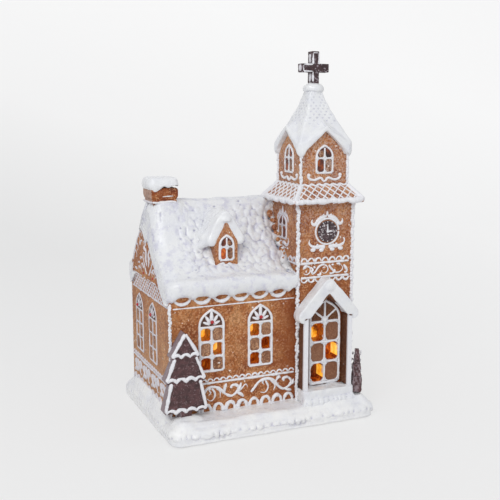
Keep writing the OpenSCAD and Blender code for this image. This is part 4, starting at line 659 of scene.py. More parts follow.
def large_window(cx, foot, wall, relief=1.0):
    """Pointed window of three rows: outline, bars and the piped fan in its head."""
    thin, bar_h, spring = 0.5 + 0.5 * relief, 1.7 * relief, foot + 41
    outline = arch_outline(cx, foot + 0.9, 21.4, spring, foot + 54.3)
    parts = [tube(outline, 2.5 * thin, 1.9 * relief, wall, curve=False),
             straight((cx - 10.9, foot + 1.1), (cx + 10.9, foot + 1.1), 2.4 * thin, 1.9 * relief, wall)]
    for row in (1, 2, 3):
        z = foot + 0.9 + NAVE_PANE_ROW * row
        parts.append(straight((cx - 10.8, z), (cx + 10.8, z), 2.2 * thin, bar_h, wall))
    parts.append(straight((cx, foot + 0.9), (cx, foot + 40), 2.3 * thin, bar_h, wall))
    for row in range(3):
        z = foot + NAVE_PANE_ROW * row
        for x0, x1 in ((-9.9, -1.0), (1.0, 9.9)):
            parts += fillets(cx + x0, cx + x1, z + 1.9, z + 12.7, 2.2 * thin, wall, 1.15 * relief)
    for angle, length, width in ((-68, 8.6, 2.2), (-34, 10.4, 2.6), (0, 13.0, 3.0), (34, 10.4, 2.6), (68, 8.6, 2.2)):
        t = math.radians(angle)
        leaf = [(cx + 1.4 * math.sin(t), spring + 0.8 * math.cos(t))]
        leaf += [(cx + length * f * math.sin(t), spring + length * f * math.cos(t)) for f in (0.5, 1)]
        parts.append(tube(leaf, width * thin, 1.6 * relief, wall, "leaf", lift=0.3 * relief))
    return parts


def small_window(cx, foot, w, h, wall):
    """Pointed window of four panes."""
    spring = foot + h * 0.56
    parts = [tube(arch_outline(cx, foot + 0.9, w - 1.7, spring, foot + h - 0.9, 12, 0.85), 2.2, 1.7, wall, curve=False),
             straight((cx - w / 2 + 0.7, foot + 1.0), (cx + w / 2 - 0.7, foot + 1.0), 2.1, 1.7, wall),
             straight((cx, foot + 0.8), (cx, foot + h - 2.5), 1.7, 1.4, wall),
             straight((cx - w / 2 + 1, spring - 0.7), (cx + w / 2 - 1, spring - 0.7), 1.7, 1.4, wall)]
    for side in (-1, 1):
        a, b = sorted((cx + side * 0.85, cx + side * (w / 2 - 1.8)))
        parts += fillets(a, b, foot + 1.9, spring - 1.5, 1.7, wall, 1.0)
        parts += fillets(a, b, spring + 0.1, spring + 6.1, 1.7, wall, 1.0)[::2]
    return parts


def swags(x0, x1, wall):
    """Rings that hang under the eave."""
    return [tube(arc(cx, SWAG_Z, 7.6, 176, 364, 0.86), 3.3, 2.3, wall, "swag", wobble=0.2)
            for cx in spread(x0, x1, 17.35)[0]]


def foot_row(x0, x1, wall):
    """Horseshoes standing on the snow."""
    shoe = [(-4.1, 15), (-3.9, 18.6), (-2.2, 21.6), (0, 22.4), (2.2, 21.6), (3.9, 18.6), (4.1, 15)]
    return [tube([(cx + x, z) for x, z in shoe], 3.5, 2.3, wall, wobble=0.25) for cx in spread(x0, x1, 11.3)[0]]


def sill_row(x0, x1, wall):
    """Line under the windows with its row of small arcs."""
    places, step = spread(x0, x1, 6.0)
    return [line(x0, x1, SILL_Z, 2.3, 1.8, wall)] + [
        tube(arc(cx, SILL_Z + 0.9, step * 0.41, 0, 180, 1.15), 1.55, 1.3, wall, wobble=0.25) for cx in places]


# points on the front wall, width and taper of each line
VINE = [
    ([(-81.5, 33), (-78, 37.5), (-73, 38), (-68, 34.5), (-63.5, 30.5), (-58.2, 32.3)], 1.8, "leaf"),
    ([(-73, 37.4), (-70.5, 32), (-72.5, 27.2), (-77, 26), (-80, 29), (-78.4, 32.4), (-75.6, 32)], 1.7, "out"),
    ([(-66, 33), (-64.8, 37.5), (-62, 39)], 1.7, "leaf"),
    ([(-58.2, 32.3), (-54.8, 36.4), (-50.5, 37.9), (-44.2, 36), (-38, 30.2), (-32.3, 27.6), (-27.4, 30.5),
      (-26, 34.5), (-28.6, 37), (-32.1, 36.5), (-32.7, 33.8)], 2.1, "even"),
    ([(-50.4, 36.7), (-47.6, 32.1), (-48.5, 27.2), (-51.7, 25.6), (-55.3, 28.2)], 1.8, "out"),
    ([(-50.8, 37), (-52.8, 35.2), (-51.3, 32.6), (-53.5, 30.4)], 1.5, "out"),
    ([(-46.1, 36.2), (-42.7, 32.6), (-42.9, 26.5)], 1.7, "out"),
    ([(-38.6, 31.5), (-38.4, 35.8), (-36.7, 39.7)], 1.9, "leaf"),
    ([(-27.4, 30.5), (-24.8, 34), (-23, 38.5)], 1.9, "leaf"),
    ([(-27.4, 30.5), (-22.8, 33), (-19.3, 36.2), (-17.6, 34.6), (-17.5, 32.3)], 1.7, "out"),
    ([(-27.4, 30), (-23.6, 28), (-20.5, 24.8)], 1.8, "leaf"),
    ([(-14.3, 28.2), (-11.2, 31.5), (-6.9, 36.3), (-1.7, 38.4), (3.6, 38.1), (8.2, 35.7), (12.2, 30.3),
      (17.5, 27.2), (23.4, 30.1), (24.4, 34.3), (20.8, 37.4), (16.8, 36.5), (18.1, 33.9)], 2.1, "even"),
    ([(-0.6, 37.4), (0.3, 36), (2.3, 30.9), (-0.4, 26.4), (-5.6, 27.1)], 1.8, "out"),
    ([(-1.7, 38), (-3, 35.6), (-1, 32.9)], 1.5, "out"),
    ([(4.3, 37.4), (8.9, 31.4), (6.9, 26.1)], 1.8, "out"),
    ([(9.6, 34.6), (11, 37.4), (12.8, 39), (14.8, 37)], 1.6, "leaf"),
    ([(17.5, 27.4), (21.5, 26), (25.6, 25)], 1.6, "leaf"),
    ([(23.4, 30.1), (26, 32), (27.2, 35.5)], 1.7, "leaf"),
]
MOTIF, MOTIF_X0, MOTIF_W = VINE[3:11], -58.2, 44.0


def vine_on(wall, u0, u1, span=MOTIF_W, bold=1.3):
    """One motif of the front's vine, repeated along another wall."""
    parts, n = [], max(int((u1 - u0) / span), 1)
    step = (u1 - u0) / n
    share = min(step / MOTIF_W, 1.0) * 0.98
    for i in range(n):
        rows = [([(u0 + step * i + 1 + (x - MOTIF_X0) * share, y) for x, y in p], w, t) for p, w, t in MOTIF]
        parts += piped(rows, wall, 1.5, bold)
    return parts


def lattice_band(u0, u1, z0, z1, wall):
    """Two lines with flat crossing lines between them."""
    parts = [line(u0, u1, z0, 1.9, 1.7, wall), line(u0, u1, z1, 1.9, 1.7, wall)]
    places, step = spread(u0, u1, 7.6)
    run, tall = step * 2.5, z1 - z0
    for i in range(-2, len(places)):
        a = u0 + step * i
        low, high = max((u0 - a) / run, 0), min((u1 - a) / run, 1)
        if high - low >= 0.08:
            ends = a + run * low, a + run * high
            parts.append(straight((ends[0], z0 + tall * low), (ends[1], z0 + tall * high), 0.95, 1.1, wall))
            parts.append(straight((ends[0], z1 - tall * low), (ends[1], z1 - tall * high), 0.95, 1.1, wall, lift=0.2))
    return parts


# scrolls on both halves of the left gable, and curls along its top
GABLE_SCROLLS = [
    ([(13, 127), (17, 131), (22, 137), (24.5, 142), (21.5, 145.5), (18, 143), (19.2, 139.6)], 2.0, "out"),
    ([(22, 131), (27, 134.6), (31.5, 132), (30.4, 127.4), (26.4, 127.3)], 1.9, "out"),
    ([(33, 129), (38, 130.5), (42, 127.6), (41, 125.2)], 1.8, "out"),
    ([(12.5, 134), (14.2, 140), (13.4, 146), (15.6, 151)], 1.8, "leaf"),
    ([(16, 147), (18.6, 150), (18.4, 153)], 1.5, "leaf"),
    ([(44, 126), (48, 127.6), (51, 126)], 1.5, "leaf"),
    ([(26.5, 139), (30, 140), (32.5, 137)], 1.6, "leaf"),
    ([(35, 134), (38.4, 134.5)], 1.5, "leaf"),
]
GABLE_CURLS = [
    ([(57, 133), (54, 139), (49, 143), (45, 141), (46, 137.5), (49.5, 138)], 2.4, "out"),
    ([(52, 141.5), (48.5, 147.5), (43.5, 150.5), (40, 148), (41.5, 144.5), (44.5, 145)], 2.3, "out"),
    ([(46, 148.5), (42, 155), (37, 158), (33.5, 156), (35, 152.5)], 2.2, "out"),
    ([(38, 157.5), (33, 162.5), (28.5, 161.5), (29, 158)], 2.1, "out"),
    ([(33, 150), (30, 154.5), (25.5, 155)], 1.9, "leaf"),
    ([(58, 131), (60, 127), (57.5, 124.5)], 1.9, "out"),
    ([(14, 152), (17.5, 155.5), (21.5, 155), (22, 151.5)], 1.9, "out"),
    ([(2, 141.5), (6.5, 143.8), (9.2, 141), (7.2, 138)], 1.9, "out"),
    ([(-9, 130.8), (-5, 132), (-2.6, 129.4), (-4.4, 127.2)], 1.8, "out"),
]


def lumps(u, v, pitch_u, pitch_v, jitter, seed):
    """Height from 0 to 1 of rounded lumps laid in shifted rows, at points (u, v)."""
    best = np.full(len(u), 9.0)
    row0 = np.floor(v / pitch_v)
    for dr in (-1, 0, 1):
        row = row0 + dr
        shift = (row % 2) * 0.5
        for dc in (-1, 0, 1):
            col = np.round(u / pitch_u - shift) + dc
            ci, ri = col.astype(np.int64), row.astype(np.int64)
            ju, jv = ((lattice_value(ci, ri, ci * 0 + k, seed) - 0.5) * jitter for k in (3, 7))
            du = (u - (col + shift) * pitch_u - ju) / (pitch_u * 0.62)
            dv = (v - (row + 0.5) * pitch_v - jv) / (pitch_v * 0.75)
            best = np.minimum(best, du * du + dv * dv)
    return np.sqrt(np.clip(1 - best * 0.75, 0, 1))


# outline (y, z) of the bread that the rake's snow leaves open on the left gable
GABLE = [(-26, 122), (-19.6, 126.5), (-5.4, 136), (-0.7, 141.8), (8, 149.5), (13.8, 155), (20, 161), (27, 166),
         (33, 164.5), (40, 158), (49, 149), (57, 139), (62.5, 131), (61, 122)]
SWAG_JOINTS = [-84.3 + 17.38 * k for k in range(7)]
SLOPE_Y, SLOPE_Z = 0.809, 0.588  # the roof's normal


def within(loop, x, y):
    """Which points lie inside a closed loop."""
    hit = np.zeros(len(x), bool)
    for (x0, y0), (x1, y1) in zip(loop, loop[1:] + loop[:1]):
        if y0 != y1:
            hit ^= ((y0 > y) != (y1 > y)) & (x < (x1 - x0) * (y - y0) / (y1 - y0) + x0)
    return hit


def shape_nave_roof(co, nor):
    """Lumpy shingles under the snow of both slopes, smooth bands at eave, rake and ridge, a dripping eave."""
    x, rise = co[:, 0].copy(), co[:, 2].copy()
    along = np.abs(co[:, 1] - RIDGE_Y)
    up = smoothstep(0.25, 0.5, nor[:, 2])

    # both ends sink and round off
    under = -((along - 6.47) * SLOPE_Y + (rise - 186.7) * SLOPE_Z)
    end = np.maximum(np.clip((-77 - x) / 12.5, 0, 1), np.clip((x - 74) / 10.6, 0, 1))
    drop = 6.5 * end ** 2 * np.clip(1 - under / 15, 0, 1)
    co[:, 1] -= np.sign(co[:, 1] - RIDGE_Y) * SLOPE_Y * drop * smoothstep(0, 5, along)
    co[:, 2] -= SLOPE_Z * drop

    # shingles on the middle of the slopes
    mid = smoothstep(131, 139, rise) * fade(178, 184, rise) * smoothstep(-74, -62, x)
    shingle = lumps(x + 1.8 * value_noise(co, 8, 71), rise + 1.5 * value_noise(co, 8, 72), 7.0, 5.4, 3.6, 5)
    deep = 0.7 + 0.3 * smoothstep(-0.35, 0.25, value_noise(co, 16, 73) + 0.004 * (x + 20))
    crust = 0.8 * value_noise(co, 4.2, 14) + 0.2 * value_noise(co, 2.4, 15)
    d = up * mid * (deep * (3.1 * shingle - 2.2) + crust)

    # broken, thinner snow beside the tower
    front = up * (co[:, 1] < 2)
    beside = front * smoothstep(19, 27, x)
    bare = smoothstep(126, 134, rise) * fade(180, 186, rise) * smoothstep(-0.1, 0.4, value_noise(co, 7.5, 93))
    spots = peak(rise, 140, 5) + peak(rise, 174, 4) + 0.6 * peak(rise, 156, 3)
    d -= beside * (4.2 * bare + 5.5 * spots)
    d -= front * smoothstep(13, 26, x) * smoothstep(128, 140, rise) * fade(176, 186, rise) * 2.6

    pits = smoothstep(0.76, 0.86, value_noise(co * (0.8, 1, 1), 3.2, 77))
    d -= up * smoothstep(128, 134, rise) * pits * 1.1
    d += up * snow_noise(co, 17, 7, 0.7, 0.25, 3) + (1 - up) * 0.35 * value_noise(co, 7, 8)
    co = co + nor * d[:, None]

    # a roll along the ridge, a drift at the left, and fuller snow at the back
    co[:, 2] += up * 3.8 * smoothstep(0, 7, along) * fade(11, 30, along)
    co[:, 2] += up * 10.5 * peak(co[:, 0], -74, 19) * peak(along, 13, 8)
    back = np.clip((co[:, 1] - RIDGE_Y) / 60, 0, 1)
    co += nor * (4.5 * up * np.sin(math.pi * back) ** 0.8)[:, None]
    co[:, 2] -= 4 * np.clip((-77 - co[:, 0]) / 12, 0, 1) ** 2 * smoothstep(160, 180, rise)
    co[:, 1] -= 3.5 * smoothstep(62, 72, co[:, 1]) * smoothstep(-62, -86, co[:, 0])

    # the rake's lip stays thin and clear of the open gable
    lip = (co[:, 0] < NAVE_X0) * smoothstep(124, 134, co[:, 2])
    co[:, 0] -= (co[:, 0] - NAVE_X0) * 0.35 * lip
    co[within(GABLE, co[:, 1], co[:, 2]) & (co[:, 0] < -86.3), 0] = -86.3

    # the eave drips between the rings
    eave = ((co[:, 1] < -44) | (co[:, 1] > 63)) * fade(120, 127, co[:, 2]) * (co[:, 0] < 27)
    joint = np.max([peak(co[:, 0], at, 3.4) for at in SWAG_JOINTS], axis=0)
    co[:, 2] -= eave * (4.6 * joint + 1.9 * (1 - joint) + 0.5 * value_noise(co, 4, 9))
    return co


def shape_base(co, nor):
    """Banked edge with a wavy line of drips, rolling top."""
    radius = 18
    inside_x, inside_y = (BOX_HIGH[k] - radius - np.abs(co[:, k]) for k in (0, 1))
    over_x, over_y = np.minimum(inside_x, 0), np.minimum(inside_y, 0)
    turn = 2 * np.arctan2(-over_y, -over_x + 1e-9)
    fill = np.where((inside_x < 0) & (inside_y < 0), 0.16 * np.sin(turn) ** 2, 0)
    co[:, 0] -= np.sign(co[:, 0]) * over_x * fill
    co[:, 1] -= np.sign(co[:, 1]) * over_y * fill
    depth = radius - np.hypot(over_x, over_y) + np.maximum(np.minimum(inside_x, inside_y), 0)
    height = 0.5 + 0.5 * smoothstep(-1, 10, depth) ** 0.8
    co[:, 2] = np.where(co[:, 2] > 2.5, 2.5 + (co[:, 2] - 2.5) * height, co[:, 2])

    z = co[:, 2]
    edge = (depth < 9) * smoothstep(0.8, 2.2, z)
    along = np.where(inside_y < inside_x, co[:, 0], co[:, 1])
    run = np.stack([along, along * 0, along * 0 + 3], axis=1)
    lobe = np.abs(np.sin(along * 0.44 + 3.2 * value_noise(run, 15, 21))) ** 0.7
    band = smoothstep(2.0, 3.6, z) * fade(7.5, 10, z + 1.2 * value_noise(run, 6, 26))
    strength = 0.25 + 0.75 * smoothstep(-0.5, 0.5, value_noise(run, 18, 27) + 0.005 * co[:, 0])
    drip_z = 9.6 - 4.8 * lobe * (0.35 + 0.65 * strength) + 1.3 * value_noise(run, 9, 28)
    coat = smoothstep(drip_z - 1.1, drip_z + 1.1, z) * (1 - 0.5 * smoothstep(10, 14, z))
    d = edge * (3.0 * (coat - 0.6) * (0.3 + 0.7 * strength) - 0.6 * (1 - lobe) * band * strength)
    d += edge * (0.7 * value_noise(co, 10, 24) + 0.35 * value_noise(co, 4.5, 25))
    d += smoothstep(0.4, 0.8, nor[:, 2]) * (z > 10) * (snow_noise(co, 20, 8, 1.0, 0.5, 31) + 0.2)
    foot = (depth < 6) * fade(1.5, 4.0, z)
    d += foot * 0.9 * (1 - np.abs(nor[:, 2]))
    co = co + nor * d[:, None]
    co[:, 2] -= foot * 1.1
    return co


def shape_soft(amount, big, small, seed):
    """A shape that only takes soft noise."""
    def shape(co, nor):
        return co + nor * (amount * snow_noise(co, big, small, 0.8, 0.4, seed))[:, None]
    return shape


def shape_step(co, nor):
    """Trodden top, and a row of short icicles along the front."""
    hang = np.abs(np.sin(co[:, 0] * 0.62 + 1.4 * value_noise(co * (1, 0, 0), 11, 48))) ** 0.7
    front = smoothstep(0.5, 0.9, -nor[:, 1]) * fade(19.5, 22, co[:, 2] + value_noise(co, 5, 49))
    d = 1.1 * snow_noise(co, 9, 4, 0.8, 0.4, 47) - 1.2 * front * (1 - hang)
    return co + nor * d[:, None]


def shape_dormer(co, nor):
    """Thin over the gable's point, thick and soft along the slopes."""
    co = shape_soft(0.7, 8, 3.5, 41)(co, nor)
    under = smoothstep(0.1, 0.6, -nor[:, 2]) * smoothstep(166, 172, co[:, 2])
    co[:, 2] += 2.6 * under - 1.8 * smoothstep(180, 186, co[:, 2])
    return co


def shape_chimney_snow(co, nor):
    """Thick and round on top, its lower edge higher and wavy over the right half."""
    co = shape_soft(0.8, 8, 3.5, 43)(co, nor)
    lift = 3.2 * smoothstep(-80, -74, co[:, 0]) + 0.9 * np.sin(co[:, 0] * 0.55)
    co[:, 2] += lift * fade(202, 207, co[:, 2])
    return co


def shape_chimney(co, nor):
    """Swells under the snow, narrow at the line below."""
    co = co + nor * (0.3 * value_noise(co, 4, 61))[:, None]
    swell = 1.0 * smoothstep(193, 196, co[:, 2]) - 0.8 * fade(190, 192, co[:, 2])
    co[:, :2] += nor[:, :2] * swell[:, None]
    return co


def shape_front_tree(co, nor):
    """A little wider and deeper than its cut shape, with crumbly faces."""
    co = co.copy()
    co[:, 0] = FRONT_TREE[0] + (co[:, 0] + 78.3) * 1.1
    co[:, 1] = FRONT_TREE[1] + (co[:, 1] - FRONT_TREE[1]) * 1.35
    return shape_soft(0.22, 4, 1.8, 61)(co, nor)


def shape_side_tree(co, nor):
    """Ragged tree: thin at the top, swelling at each tier."""
    n = np.array((math.sin(SIDE_TREE_ANGLE), -math.cos(SIDE_TREE_ANGLE), 0))
    off = (co - (*SIDE_TREE, 0)) @ n
    want = np.interp(co[:, 2], [16, 22, 30, 38, 41, 47, 50, 58], [0.85, 1.15, 1.2, 0.85, 1.0, 0.75, 0.7, 0.4])
    co = co + n * (off * (want - 1))[:, None]
    return co + nor * (0.75 * value_noise(co, 3.0, 62) + 0.45 * value_noise(co, 1.5, 63))[:, None]


def shape_spire(co, nor):
    """Soft poured spire: wavy hems, round corners, and a faint diamond net under the snow of its upper part."""
    around = np.arctan2(co[:, 1] - TOWER_CY, co[:, 0] - TOWER_CX) * 14
    net = sum(np.abs(np.sin((around + way * co[:, 2]) * 0.62)) for way in (1, -1))
    hole = 0.9 * smoothstep(255, 262, co[:, 2]) * fade(0.35, 0.75, net)
    co = co + nor * (snow_noise(co, 10, 4.5, 0.6, 0.3, 49) - hole)[:, None]
    hem = fade(232, 252, co[:, 2]) * (1.5 * value_noise(co, 5.5, 88) + 0.7)
    co[:, 2] -= hem * (nor[:, 2] < 0.3)

    # the snow over each gable sinks outside the spire's own outline
    dx, dy = co[:, 0] - TOWER_CX, co[:, 1] - TOWER_CY
    far, near = np.maximum(np.abs(dx), np.abs(dy)), np.minimum(np.abs(dx), np.abs(dy))
    half = np.interp(co[:, 2], [237.7, 244.4, 257.6, 269.9, 278.9, 285.1], [27.5, 24.8, 17.8, 11.6, 8.1, 6.5])
    above = np.clip((co[:, 2] - 252.6 + 0.867 * near) / 9.5, 0, 1)
    co[:, 2] -= 4.6 * above * smoothstep(0, 9, far - half) * smoothstep(236, 246, co[:, 2])

    tuck = 1 - 0.06 * np.clip((236 - co[:, 2]) / 6, 0, 1) ** 2
    core, corner_r = 19, 8.6
    over = np.hypot(np.maximum(np.abs(dx) - core, 0), np.maximum(np.abs(dy) - core, 0))
    in_corner = (np.abs(dx) > core) & (np.abs(dy) > core)
    corner = np.where(in_corner, np.minimum(1, corner_r / np.maximum(over, 0.1)), 1)
    for axis, dist, centre in ((0, dx, TOWER_CX), (1, dy, TOWER_CY)):
        size = np.abs(dist)
        size = np.where(corner < 1, core + (size - core) * corner, size) * tuck
        co[:, axis] = centre + np.sign(dist) * size
    return co


def build_snow():
    """Every snow mass: the CAD's own solid with rolls and drifts added, softened."""
    coarse = 1.0
    drifts = [rod((60, -68.5, 11.5), (86, -67, 12), 6.5, 7.5), rod((-70, -69, 10.5), (30, -70, 10), 6.0, 5.5),
              blob((-77, -60, 13), (17, 10, 7), 12, 20), blob((86.5, -58, 15), (8.5, 11, 5), 10, 16),
              blob((-89, -20, 13.5), (5.5, 34, 9), 10, 16), blob((-89, 30, 13.5), (5.5, 36, 10), 10, 16),
              blob((62, -70, 12), (24, 7, 6), 10, 16), blob((-80, -67, 12.5), (14, 6, 6), 12, 18)]
    remeshed("snow_base", "base_plinth", drifts, coarse, 7, MAT_GROUND, shape_base)
    remeshed("snow_nave_roof", "nave_roof", [], coarse * 0.85, 14, MAT_SHINGLE, shape_nave_roof, 3)

    cx = DORMER_CX
    tent = [rod((cx, -33, 178.2), (cx, -6, 178.6), 5.6)]
    for side in (-1, 1):
        tent.append(rod((cx - 0.8, -32.2, 178.6), (cx + side * 13.2, -32.2, 160.4), 3.9, 4.3))
        tent.append(rod((cx - 0.8, -26, 178.8), (cx + side * 14.2, -26, 161), 5.0, 5.4))
        tent.append(rod((cx + side * 12.8, -33, 161), (cx + side * 14.5, -14, 162.5), 4.6, 5.6))
    tent.append(rod((cx - 13, -29, 161.5), (cx - 19.5, -22, 154.5), 4.6, 3.4))
    drips = [blob((-83, -0.5, 205.6), (5.0, 3.6, 4.4)), blob((-85, 12, 206.5), (3.6, 9, 3.6)),
             blob((-70, -0.5, 206.5), (8, 3.6, 3))]
    slabs = [rod((PORCH_CX, -61, 119.2), (PORCH_CX, -55.5, 119.2), 6.6)]
    for side in (-1, 1):
        slabs.append(rod((PORCH_CX, -60.4, 119.5), (PORCH_CX + side * 25.5, -60.4, 93.5), 5.3, 4.9))
    low, high = (np.array(v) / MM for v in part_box("porch_step"))
    heap = [rod((low[0] + 3, low[1] + 1.5, 17), (high[0] - 3, low[1] + 1.5, 17), 4.2, 4.6)]
    ribs = []
    for ux, uy in ((1, 1), (1, -1), (-1, 1), (-1, -1)):
        ribs.append(rod((TOWER_CX + ux * 22.6, TOWER_CY + uy * 22.6, 236.2),
                        (TOWER_CX + ux * 15, TOWER_CY + uy * 15, 252), 4.6, 6.0))
    ribs.append(rod((TOWER_CX, TOWER_CY, 276), (TOWER_CX, TOWER_CY, 286), 7.6, 7.4))
    cap = [rod((TOWER_CX, TOWER_CY, 282.5), (TOWER_CX, TOWER_CY, 288), 7.5, 7.2)]
    for name, node, extras, voxel, steps, shape, grow in (
        ("snow_dormer", "dormer_roof", tent, 0.7, 24, shape_dormer, 0),
        ("snow_chimney", "chimney_snow", drips, 0.7, 9, shape_chimney_snow, 1.5),
        ("snow_porch", "porch_roof", slabs, 0.7, 9, shape_soft(0.8, 10, 5, 45), 0.6),
        ("snow_step", "porch_step", heap, 0.7, 9, shape_step, 0.8),
        ("snow_spire", "spire_roof", ribs, 0.8, 26, shape_spire, 0),
        ("snow_spire_cap", "spire_cap", cap, 0.6, 10, shape_soft(0.6, 6, 3, 51), 0),
    ):
        remeshed(name, node, extras, voxel, steps, MAT["snow"], shape, grow)


def build_bread():
    """Baked walls, trees and the cross, which are small enough to take rounded edges."""
    plain = shape_soft(0.22, 4, 1.8, 61)
    half_gable = [(-10.2, 139.5), (10.2, 139.5), (10.4, 160), (6.5, 166), (3.2, 172), (1.4, 178), (0, 180)]
    loop = [(DORMER_CX + x, z) for x, z in half_gable] + [(DORMER_CX - x, z) for x, z in half_gable[-2:1:-1]]
    gable = [extruded(loop, front_plane(-36), 0, 5)]
    rafters = []
    for side in (-1, 1):
        loop = [(PORCH_CX, 113.6), (PORCH_CX, 111.0), (PORCH_CX + side * 21.8, 91.4), (PORCH_CX + side * 24.6, 91.4)]
        rafters.append(extruded(loop[::side], front_plane(-64.6), 0, 12))
    for name, node, extras, voxel, material, slot, shape, grow in (
        ("bread_belfry", "belfry_walls", [], 0.7, MAT["gingerbread"], "gingerbread", plain, 0),
        ("bread_chimney", "chimney_stack", [], 0.6, MAT_CHIMNEY, "gingerbread", shape_chimney, 0),
        ("bread_dormer", "dormer_walls", gable, 0.6, MAT["gingerbread"], "gingerbread", plain, 0),
        # porch walls take the darker bread, painted shade
        ("bread_porch", "porch_walls", rafters, 0.7, MAT_JAMB_SHADE, "gingerbread", plain, 0),
        ("tree_front", "front_tree", [], 0.5, MAT_TREE, "chocolate", shape_front_tree, 3.2),
        ("tree_side", "side_tree", [], 0.45, MAT_TREE, "chocolate", shape_side_tree, 0),
        ("cross_top", "spire_cross", [], 0.4, MAT["chocolate"], "chocolate", plain, 0),
    ):
        remeshed(name, node, extras, voxel, 2, material, shape, grow)


def nave_windows(wall, relief=1.0):
    centres, foot = NAVE_WINDOWS[wall]
    return [part for centre in centres for part in large_window(centre, foot, wall, relief)]


def build_nave_icing():
    """Piping on the walls of the nave, and the bread of its open gable."""
    piece("piped_front_windows", nave_windows("front"), "front_window_icing")
    piece("piped_gable_windows", nave_windows("left", 0.55), "gable_window_icing")
    parts = [line(-84, 27.5, FRIEZE_Z, 1.3, 1.1, "front")] + swags(-84.3, 20, "front")
    parts += [line(-84, 79, FRIEZE_Z, 1.3, 1.1, "back")] + swags(-82, 78, "back")
    piece("piped_eave_swags", parts, "eave_swags")
    parts = sill_row(-84, 27.6, "front") + sill_row(-46, 65.6, "left") + sill_row(-84, 79, "back")
    piece("piped_sill", parts + sill_row(4, 65.6, "right"), "sill_scallops")
    parts = foot_row(-83, 27.4, "front") + foot_row(-46, 66, "left") + foot_row(-84, 79, "back")
    piece("piped_foot", parts + foot_row(4, 65.6, "right"), "foot_scallops")
    parts = piped(VINE, "front", 1.8, 1.3, wobble=0.2) + vine_on("left", -43, 64, 26, 1.6)
    parts += vine_on("back", -80, 76) + vine_on("right", 8, 62)
    piece("piped_vine", parts, "vine_scrolls")
    piece("piped_gable_lattice", lattice_band(-44, 63.5, 108.6, 122.6, "left"), "gable_lattice")
    wall = left_plane(NAVE_X0 - 0.9)
    parts = piped(GABLE_SCROLLS, wall, 1.5, side=-1, centre=RIDGE_Y)
    parts += piped(GABLE_SCROLLS, wall, 1.5, side=1, centre=RIDGE_Y) + piped(GABLE_CURLS, wall, 1.5)
    piece("piped_gable_scrolls", parts, "gable_scrolls")
    piece("bread_gable", [extruded(GABLE, "left", -0.9, 0.4)], None, MAT["gingerbread"], False)
    parts = rough_strip(NAVE_X0, NAVE_Y0, 62, 112, 1.35) + rough_strip(NAVE_X0, NAVE_Y0, GROUND_Z, 62, 0.8)
    parts += rough_strip(NAVE_X0 + 1.3, NAVE_Y1 + 0.4, GROUND_Z, 112, 1.3)
    parts += rough_strip(NAVE_X1, NAVE_Y1, GROUND_Z, 112, 1.9)
    piece("piped_nave_corners", parts, "nave_corner_beads")


# scrolls between the tower's bands
TOWER_FRIEZE = [
    ([(34.5, 134.6), (37.6, 136.2), (40.2, 134.4), (39.8, 130.6), (36.4, 128.9), (33.4, 130.6)], 1.8, "out"),
    ([(41.5, 129), (45, 130.5), (48.5, 135), (52.8, 136.7), (56.8, 135), (57.6, 131.4), (54.8, 129),
      (51.6, 130.3), (52, 133)], 2.0, "out"),
    ([(58.5, 136.3), (61.8, 132), (65.6, 129), (70, 129.4), (72.6, 132.2), (70.8, 135.3), (67.8, 134.6)],
     1.9, "out"),
    ([(73.2, 135.6), (75.4, 132.6), (77.6, 129)], 1.7, "leaf"),
    ([(43.4, 136.2), (45.2, 133.8)], 1.4, "leaf"),
    ([(46.8, 128.2), (49.6, 128), (50.8, 130.6)], 1.5, "leaf"),
    ([(33.2, 133.4), (35.4, 136.4), (38.2, 136.8)], 1.5, "leaf"),
    ([(40.6, 135.6), (42.6, 133.2), (41.6, 130.8), (43.6, 128.4)], 1.4, "leaf"),
    ([(55.4, 133.8), (53.4, 134.4), (52.2, 132.8)], 1.3, "out"),
    ([(66, 136.4), (68.6, 136.6), (70.4, 135)], 1.3, "leaf"),
    ([(73.8, 129.2), (75.6, 128.4), (77.4, 130.4)], 1.3, "leaf"),
    ([(59.2, 129.2), (60.8, 128.2), (62.6, 129.4)], 1.3, "leaf"),
    ([(61.6, 128), (64.4, 130.2), (63.8, 132.4)], 1.5, "leaf"),
    ([(37.2, 132.8), (36, 131.4), (37.6, 130.8)], 1.5, "out"),
    ([(60.8, 135.9), (63.8, 136.2)], 1.4, "leaf"),
]
# scrolls left of the clock, mirrored to its right
CLOCK_SCROLLS = [
    ([(46.6, 174.8), (44.6, 172.4), (42.0, 173.0), (41.2, 175.6), (42.8, 177.4)], 3.3, "out"),
    ([(55, 152.0), (50, 152.8), (46, 152.6), (42, 153.4), (39.2, 155.8), (39.2, 158.8), (41.2, 160)], 3.9, "out"),
    ([(53.6, 150.8), (50.6, 149.8), (48.2, 150.2)], 2.4, "leaf"),
    ([(45.6, 151.2), (42.6, 150.2), (40.0, 151.2)], 2.4, "leaf"),
    ([(47.6, 153.8), (46.2, 155.4)], 1.9, "leaf"),
]
# round the tower's left window, from its middle line
WINDOW_CROWN = [
    ([(0, 178), (0.3, 183), (0, 188)], 5.4, "out"),
    ([(-2, 178), (-5, 180.6), (-6.4, 184)], 4.2, "out"),
    ([(2, 178), (5, 180.6), (6.4, 184)], 4.2, "out"),
]
WINDOW_SCROLLS = [
    ([(3, 179.5), (7, 179), (9.8, 176.6), (10.6, 173.4), (8.8, 172.2)], 4.4, "out"),
    ([(0, 153.4), (4, 153.8), (8, 152.2), (11.6, 154.6), (11.2, 158.4), (8.8, 158.6)], 4.2, "out"),
    ([(1, 150.6), (4.4, 149.4), (7.6, 150.6)], 2.3, "out"),
    ([(9.4, 150.4), (12, 148.6)], 2.0, "out"),
]
TOWER_WINDOWS = {"tower_left": (-22, 156.7, 17.5, 23.5), "tower_right": (TOWER_CY, 156.7, 17.5, 23.5)}


